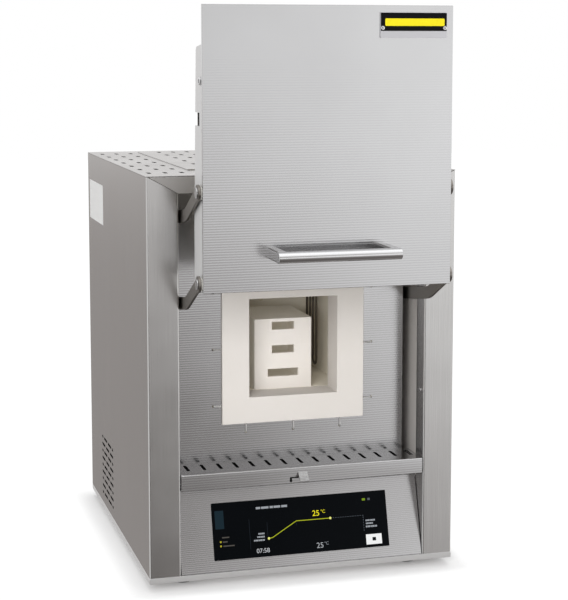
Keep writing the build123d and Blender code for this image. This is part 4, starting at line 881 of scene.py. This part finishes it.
class FURNACE_OT_light_display(bpy.types.Operator):
    """Lay the firing curve, the readings and the keys on the display's glass"""
    bl_idname = "furnace.light_display"
    bl_label = "Light Display"

    film = 0.04 * MM
    line_width = 0.9 * MM
    dotted_width = 0.45 * MM
    ruling_width = 0.35 * MM
    spot = 1.5 * MM
    dash = 1.6 * MM
    dashes_down = 6

    def execute(self, context):
        self.plane = face_plane("display_glass", -Y)
        self.start = Vector((-42.3, -12.9)) * MM
        self.bend = Vector((-6.2, 5.4)) * MM
        self.now = Vector((37.7, 5.4)) * MM
        self.end = Vector((80.4, 5.4)) * MM
        self.draw_curve()
        self.draw_readings()
        self.draw_keys()
        return {"FINISHED"}

    def lay(self, name, shape, hexcode, strength=1.0):
        """Finish one colour of the picture."""
        finished(name, shape, "root", lit_pixels(hexcode, strength), "display_black_glass")

    def stroke(self, shape, begin, finish_at, width):
        """Straight line between two places on the glass."""
        way = finish_at - begin
        middle = (begin + finish_at) / 2
        turn = Matrix.Rotation(math.atan2(way.y, way.x), 4, "Z")
        place = self.plane @ Matrix.Translation((middle.x, middle.y, 0)) @ turn
        slab(shape, place, (0, 0), (way.length, width), self.film)

    def dot(self, shape, at, radius):
        """Round spot on the glass."""
        drum(shape, self.plane @ at.to_3d(), self.plane.to_3x3() @ Z, radius, self.film, sides=24)

    def words(self, text, at, size, hexcode, name, strength=1.0):
        """Digits and a unit on the glass, from their lower left corner."""
        line = bpy.data.curves.new(name, "FONT")
        line.body = text
        line.size = size
        line.extrude = self.film / 2
        shape = bmesh.new()
        merge_curve(shape, line)
        place = self.plane @ Matrix.Translation((at[0] * MM, at[1] * MM, self.film / 2))
        bmesh.ops.transform(shape, matrix=place, verts=shape.verts)
        self.lay(name, shape, hexcode, strength)

    def draw_curve(self):
        """Firing curve up to now, and the dotted rest of it."""
        knee = self.start + Vector((4.5, 0.6)) * MM
        shape = bmesh.new()
        for begin, finish_at in ((self.start, knee), (knee, self.bend), (self.bend, self.now)):
            self.stroke(shape, begin, finish_at, self.line_width)
        for spot in (knee, self.bend):
            self.dot(shape, spot, self.line_width / 2)
        self.lay("display_curve", shape, "#B9C22E")
        shape = bmesh.new()
        self.dot(shape, self.start, self.spot)
        self.dot(shape, self.now, self.spot)
        self.lay("display_dots", shape, "#F0F08A", 1.1)
        shape = bmesh.new()
        steps = int((self.end.x - self.now.x) / (2 * self.dash))
        for step in range(1, steps + 1):
            begin = self.now + Vector((2 * self.dash * step, 0))
            self.stroke(shape, begin, begin + Vector((self.dash, 0)), self.dotted_width)
        for step in range(self.dashes_down):
            begin = self.end - Vector((0, 2 * self.dash * (step + 0.5)))
            self.stroke(shape, begin, begin - Vector((0, self.dash)), self.dotted_width)
        self.lay("display_dotted_rest", shape, "#707880", 0.8)
        shape = bmesh.new()
        for x, low, high in ((-66, -24, 12), (-43.5, -10, 7), (-6.2, 0, 4)):
            self.stroke(shape, Vector((x, low)) * MM, Vector((x, high)) * MM,
                        self.ruling_width)
        self.lay("display_rulings", shape, "#2A3038")

    def draw_readings(self):
        """Chamber reading, set reading and clock."""
        for text, at, size, hexcode, name, strength in (
                ("25", (14.8, 9.6), 9.6, "#F4EA2A", "display_reading", 1.15),
                ("°C", (25.6, 12.4), 5.6, "#F4EA2A", "display_unit", 1.0),
                ("25", (17.4, -29.6), 9.4, "#B9BDC2", "display_second_reading", 0.9),
                ("°C", (27.6, -26.4), 5.2, "#9DA2A8", "display_second_unit", 0.8),
                ("07:58", (-59, -29.4), 7.6, "#C9CCD0", "display_clock", 1.0)):
            self.words(text, at, size * MM, hexcode, name, strength)

    # name, colour, strength and corner of each patch; middle, width and height of its plates
    patches = (
        ("display_key", "#F5F6F6", 1.05, 0, ((92.4, -24.6, 20.4, 12.4),)),
        ("display_key_mark", "#101214", 1.0, 0, ((92.7, -24.4, 4.6, 4.2),)),
        ("display_lamp", "#7E9A28", 1.0, 0.6, ((82.6, 24.8, 4.2, 2.8),)),
        ("display_signal", "#5C6268", 1.0, 0.6, ((89.4, 24.8, 3.2, 2.8),)),
        ("display_captions", "#A9AEB4", 0.9, 0, (
            (-36, 24.6, 41, 2.6), (-51.4, -6.4, 8, 1.9), (-52.2, -10.2, 9.6, 1.9),
            (-54.4, -14.2, 14, 1.9), (89.5, -1.2, 12.6, 1.9), (88, -4.9, 9.4, 1.9),
            (90.5, -8.7, 15, 2.1))),
        ("display_menu", "#5E5A55", 0.8, 0, (
            (-96.5, -7.4, 9, 1.5), (-97.5, -12.6, 6, 1.5), (-93, -17.6, 14, 1.5))),
        ("display_menu_lamps", "#C9BE3A", 0.8, 0.4, (
            (-103, -12.4, 2, 2.2), (-103, -17.4, 2, 2.2))),
        ("display_side_key", "#1F2E36", 1.0, 0.8, ((-103, 14, 11, 22),)),
    )

    def draw_keys(self):
        """Stop key, status lamps and the plain bars that stand where words would."""
        for name, hexcode, strength, corner, plates in self.patches:
            shape = bmesh.new()
            plane = self.plane
            if name == "display_key_mark":
                plane = plane @ Matrix.Translation((0, 0, self.film))
            for x, y, width, height in plates:
                if name == "display_captions":
                    self.split_bar(shape, x * MM, y * MM, width * MM, height * MM)
                else:
                    slab(shape, plane, (x * MM, y * MM), (width * MM, height * MM), self.film,
                         corner * MM)
            self.lay(name, shape, hexcode, strength)

    def split_bar(self, shape, x, y, width, height):
        """Plain bar, broken into word-like runs of uneven length."""
        left = x - width / 2
        for share in (0.16, 0.27, 0.12, 0.24, 0.21):
            run = share * width
            slab(shape, self.plane, (left + run * 0.45, y), (run * 0.86, height), self.film)
            left += run


class FURNACE_OT_finish_nameplate(bpy.types.Operator):
    """Lay the enamelled field and its plain band on the door's blank plate"""
    bl_idname = "furnace.finish_nameplate"
    bl_label = "Finish Nameplate"

    film = 0.25 * MM
    margin = 0.5 * MM
    field_height = 20.6 * MM
    field_corner = 0.6 * MM
    band_film = 0.12 * MM
    band_room = 9 * MM
    band_height = 8.4 * MM
    band_corner = 1.2 * MM
    band_offset = (1.2 * MM, -0.4 * MM)

    def execute(self, context):
        plane = face_plane("nameplate", -Y)
        low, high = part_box("nameplate")
        width, height = high.x - low.x, high.z - low.z
        rise = height / 2 - self.margin - self.field_height / 2
        shape = bmesh.new()
        slab(shape, plane, (0, rise), (width - 2 * self.margin, self.field_height), self.film,
             self.field_corner)
        finished("nameplate_field", shape, "door", finish("black_enamel"), "plate")
        above = plane @ Matrix.Translation((0, 0, self.film))
        shape = bmesh.new()
        slab(shape, above, (self.band_offset[0], rise + self.band_offset[1]),
             (width - self.band_room, self.band_height), self.band_film, self.band_corner)
        finished("nameplate_band", shape, "door", finish("band_enamel"), "plate")
        return {"FINISHED"}


class FURNACE_OT_fit_fan(bpy.types.Operator):
    """Fit the twisted blades and the round wire guard of the rear fan"""
    bl_idname = "furnace.fit_fan"
    bl_label = "Fit Fan"

    hub = 16 * MM
    hub_rounding = 1.5 * MM
    blades = 7
    chord = 15 * MM
    blade_thickness = 1.1 * MM
    guard_wire = 0.7 * MM
    guard_rings = (10 * MM, 18 * MM, 26 * MM, 34 * MM)
    eye = 3.6 * MM

    def execute(self, context):
        low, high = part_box("fan_rotor")
        middle = (low + high) / 2
        reach = (high.x - low.x) / 2
        shape = bmesh.new()
        drum(shape, Vector((middle.x, low.y, middle.z)), Y, self.hub, high.y - low.y, 48,
             rim=self.hub_rounding)
        for blade in range(self.blades):
            self.add_blade(shape, middle, reach, math.tau * blade / self.blades)
        stands_for("fan_rotor", shape)
        self.wind_guard()
        return {"FINISHED"}

    def add_blade(self, shape, middle, reach, angle):
        """Curved blade, steep at the hub and flat at the tip."""
        made = bmesh.ops.create_grid(shape, x_segments=8, y_segments=6, size=0.5)
        verts = made["verts"]
        for vert in verts:
            share, side = vert.co.x + 0.5, vert.co.y
            radius = self.hub - 1.5 * MM + share * (reach - self.hub + 1.0 * MM)
            pitch = math.radians(44 - 20 * share)
            bow = 1.6 * MM * math.cos(math.pi * side)
            vert.co = Vector((radius, side * self.chord * math.sin(pitch) * 0.8,
                              side * self.chord * math.cos(pitch) + bow))
        faces = list({face for vert in verts for face in vert.link_faces})
        bmesh.ops.recalc_face_normals(shape, faces=faces)
        solid = bmesh.ops.solidify(shape, geom=faces, thickness=self.blade_thickness)
        moved = {vert for item in solid["geom"] if isinstance(item, bmesh.types.BMFace)
                 for vert in item.verts} | set(verts)
        turn = Matrix.Translation(middle) @ Matrix.Rotation(angle, 4, "Y")
        bmesh.ops.transform(shape, matrix=turn, verts=list(moved))

    def wind_guard(self):
        """Four wire rings on two crossed wires, over an eye at each screw."""
        low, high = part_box("fan_guard")
        middle = (low + high) / 2
        radius = self.guard_wire
        shape = bmesh.new()
        for ring_radius in self.guard_rings:
            start = middle + X * ring_radius
            start.y = high.y - radius
            profile = bmesh.ops.create_circle(shape, segments=10, radius=radius,
                                              matrix=Matrix.Translation(start))
            centre = Vector((middle.x, start.y, middle.z))
            bmesh.ops.spin(shape, geom=profile["verts"] + list(
                {e for v in profile["verts"] for e in v.link_edges}), cent=centre, axis=Y,
                angle=math.tau, steps=72, use_merge=True, use_duplicate=False)
        corner = (high.x - low.x) / 2 - self.eye
        for way in (Vector((1, 0, 1)), Vector((1, 0, -1))):
            end = way * corner
            back = Vector((middle.x, low.y + radius, middle.z))
            wire(shape, (back - end, back, back + end), radius)
            for side in (-1, 1):
                foot = back + side * end
                foot.y = low.y
                drum(shape, foot, Y, self.eye, 2 * radius, 24, rim=0.3 * MM)
        stands_for("fan_guard", shape)


class FURNACE_OT_fit_inlet(bpy.types.Operator):
    """Fit the three brass pins of the mains inlet"""
    bl_idname = "furnace.fit_inlet"
    bl_label = "Fit Inlet"

    pin = Vector((2.1, 12.1, 4.1)) * MM
    pin_places = ((-7, -2), (0, 2), (7, -2))
    pin_rounding = 0.3 * MM
    well = 17 * MM

    def execute(self, context):
        low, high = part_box("mains_inlet")
        middle = (low + high) / 2
        shape = bmesh.new()
        for x, z in self.pin_places:
            root = Vector((middle.x + x * MM, high.y - self.well + self.pin.y / 2,
                           middle.z + z * MM))
            place = Matrix.Translation(root) @ Matrix.Diagonal((*self.pin, 1))
            made = bmesh.ops.create_cube(shape, size=1.0, matrix=place)
            edges = {edge for vert in made["verts"] for edge in vert.link_edges}
            rounded(shape, sorted(edges, key=lambda e: e.index), self.pin_rounding, 2)
        finished("inlet_pins", shape, "root", finish("brass"), "black_plastic")
        return {"FINISHED"}


class FURNACE_OT_finish_nodes(bpy.types.Operator):
    """Give every node of the frame its finish"""
    bl_idname = "furnace.finish_nodes"
    bl_label = "Finish Nodes"

    def execute(self, context):
        for node, carried in frame["nodes"].items():
            carried.data.materials.clear()
            carried.data.materials.append(finish_of(node))
        return {"FINISHED"}


# ---- stage --------------------------------------------------------------------------------
class FURNACE_OT_build_stage(bpy.types.Operator):
    """Build the white floor, the studio light and the camera"""
    bl_idname = "furnace.build_stage"
    bl_label = "Build Stage"

    camera_place = Vector((-540.43, -1965.97, 653.35)) * MM
    camera_pan = math.radians(15.797)
    camera_tilt = math.radians(6.603)
    focal_length = 95.665
    vertical_shift = -0.12
    floor_size = 14.0
    # name, place, width in metres and power in watts of each lamp, and where they look
    lamps = (("key", (1.9, -2.6, 2.4), 2.2, 12.0),
             ("front", (-1.3, -2.5, 1.1), 1.4, 54.0),
             ("overhead", (0.2, 0.6, 3.0), 2.4, 26.0))
    aim = Vector((0, 0, 0.3))

    def execute(self, context):
        self.lay_floor(context)
        self.light_world(context)
        for lamp in self.lamps:
            self.hang_lamp(context, *lamp)
        self.set_camera(context)
        context.scene.view_settings.view_transform = "Standard"
        return {"FINISHED"}

    def lay_floor(self, context):
        """Level floor under the feet."""
        shape = bmesh.new()
        bmesh.ops.create_grid(shape, x_segments=4, y_segments=4, size=self.floor_size / 2)
        mesh = bpy.data.meshes.new("studio_floor")
        shape.to_mesh(mesh)
        shape.free()
        mesh.materials.append(floor_paint())
        floor = bpy.data.objects.new("studio_floor", mesh)
        context.scene.collection.objects.link(floor)
        floor.visible_glossy = False

    def hang_lamp(self, context, name, place, size, power):
        """Square soft lamp that looks at the furnace's middle."""
        lamp = bpy.data.lights.new(name, "AREA")
        lamp.shape = "SQUARE"
        lamp.size = size
        lamp.energy = power
        holder = bpy.data.objects.new(name, lamp)
        holder.location = place
        holder.rotation_euler = (self.aim - Vector(place)).to_track_quat("-Z", "Y").to_euler()
        holder.visible_glossy = False
        context.scene.collection.objects.link(holder)

    # strength of the room in what metal and glass mirror, by height of the mirrored ray
    front_left = ((-1.0, 0.08), (-0.30, 0.15), (-0.22, 0.19), (-0.175, 0.26), (-0.15, 0.52),
                  (-0.12, 0.78), (-0.08, 0.92), (-0.04, 0.99), (0.03, 1.06), (0.1, 0.9),
                  (0.16, 0.45), (0.22, 0.24), (0.42, 0.2), (0.52, 0.9), (0.65, 1.3), (1.0, 1.6))
    front_right = ((-1.0, 0.15), (-0.45, 0.3), (-0.30, 0.72), (-0.2, 1.05), (-0.16, 1.14),
                   (-0.12, 1.18), (0.03, 1.38), (0.15, 1.1), (0.25, 0.82), (0.42, 0.8),
                   (0.55, 1.1), (0.65, 1.3), (1.0, 1.6))
    behind = ((-1.0, 0.36), (-0.25, 0.36), (-0.13, 0.38), (-0.09, 0.45), (-0.06, 0.62),
              (-0.03, 0.85), (0.0, 1.08), (0.05, 0.93), (0.1, 0.82), (0.7, 0.8),
              (0.85, 1.2), (1.0, 1.5))
    left_softbox = 0.95
    on_matt_things = 0.62

    def light_world(self, context):
        """White room. Metal and glass mirror it as a studio: pale at eye level and overhead,
        darker towards the floor and on the left."""
        world = bpy.data.worlds.new("white_room")
        context.scene.world = world
        world.use_nodes = True
        tree = world.node_tree
        tree.nodes.clear()
        way = add_node(tree, "ShaderNodeTexCoord").outputs["Generated"]
        apart = add_node(tree, "ShaderNodeSeparateXYZ", {"Vector": way})
        rise = add_node(tree, "ShaderNodeMapRange", {
            "Value": apart.outputs["Z"], "From Min": -1.0, "From Max": 1.0})
        sides = []
        for heights in (self.front_left, self.front_right, self.behind):
            side = add_node(tree, "ShaderNodeValToRGB", {"Fac": rise})
            stops = side.color_ramp.elements
            for _ in heights[2:]:
                stops.new(0.5)
            for stop, (height, strength) in zip(stops, heights):
                stop.position = (height + 1) / 2
                dim = 1 - min(1.0, strength)
                stop.color = (strength, strength * (1 - 0.1 * dim),
                              strength * (1 - 0.15 * dim), 1)
            sides.append(side)
        room = sides[0]
        for other, axis, begin, end in (
                (sides[1], "X", 0.17, 0.38), (sides[2], "Y", -0.3, 0.3),
                ((self.left_softbox,) * 3 + (1,), "X", -0.5, -0.8)):
            share = add_node(tree, "ShaderNodeMapRange", {
                "Value": apart.outputs[axis], "From Min": begin, "From Max": end},
                interpolation_type="SMOOTHSTEP")
            room = add_node(tree, "ShaderNodeMix", {
                0: share, 6: room, 7: other}, data_type="RGBA").outputs[2]
        rays = add_node(tree, "ShaderNodeLightPath")
        mirrored = add_node(tree, "ShaderNodeMath", {
            0: rays.outputs["Is Glossy Ray"], 1: rays.outputs["Is Transmission Ray"]},
            operation="ADD", use_clamp=True)
        ambient = add_node(tree, "ShaderNodeMix", {
            0: rays.outputs["Is Camera Ray"], 2: self.on_matt_things, 3: 1.0}, data_type="FLOAT")
        light = add_node(tree, "ShaderNodeMix", {
            0: mirrored, 6: ambient.outputs[0], 7: room},
            data_type="RGBA")
        background = add_node(tree, "ShaderNodeBackground", {"Color": light.outputs[2]})
        add_node(tree, "ShaderNodeOutputWorld", {"Surface": background})

    def set_camera(self, context):
        """Camera a little above the furnace's roof, left of its front."""
        data = bpy.data.cameras.new("camera")
        data.lens = self.focal_length
        data.shift_y = self.vertical_shift
        camera = bpy.data.objects.new("camera", data)
        camera.location = self.camera_place
        camera.rotation_euler = (math.pi / 2 - self.camera_tilt, 0, -self.camera_pan)
        context.scene.collection.objects.link(camera)
        context.scene.camera = camera


OPERATORS = (
    FURNACE_OT_finish_nodes,
    FURNACE_OT_round_sheet_metal,
    FURNACE_OT_turn_handle,
    FURNACE_OT_round_ceramics,
    FURNACE_OT_line_vents,
    FURNACE_OT_fit_screws,
    FURNACE_OT_bend_wire_clips,
    FURNACE_OT_light_display,
    FURNACE_OT_finish_nameplate,
    FURNACE_OT_fit_fan,
    FURNACE_OT_fit_inlet,
    FURNACE_OT_build_stage,
)


class FURNACE_PT_panel(bpy.types.Panel):
    """Buttons for each group of pieces, with the sizes and colours above them"""
    bl_idname = "FURNACE_PT_panel"
    bl_label = "Muffle Furnace"
    bl_space_type = "VIEW_3D"
    bl_region_type = "UI"
    bl_category = "Furnace"

    def draw(self, context):
        for group in (context.scene.furnace_sizes, context.scene.furnace_colours):
            box = self.layout.box()
            for name in group.bl_rna.properties.keys():
                if name not in ("rna_type", "name"):
                    box.prop(group, name)
        for operator in OPERATORS:
            self.layout.operator(operator.bl_idname)


CLASSES = (FurnaceSizes, FurnaceColours, *OPERATORS, FURNACE_PT_panel)


def register():
    for group in CLASSES:
        bpy.utils.register_class(group)
    bpy.types.Scene.furnace_sizes = bpy.props.PointerProperty(type=FurnaceSizes)
    bpy.types.Scene.furnace_colours = bpy.props.PointerProperty(type=FurnaceColours)


def unregister():
    del bpy.types.Scene.furnace_colours
    del bpy.types.Scene.furnace_sizes
    for group in reversed(CLASSES):
        bpy.utils.unregister_class(group)


def main():
    """Build everything in order."""
    register()
    for operator in OPERATORS:
        group, name = operator.bl_idname.split(".")
        getattr(getattr(bpy.ops, group), name)()


if __name__ == "__main__":
    main()
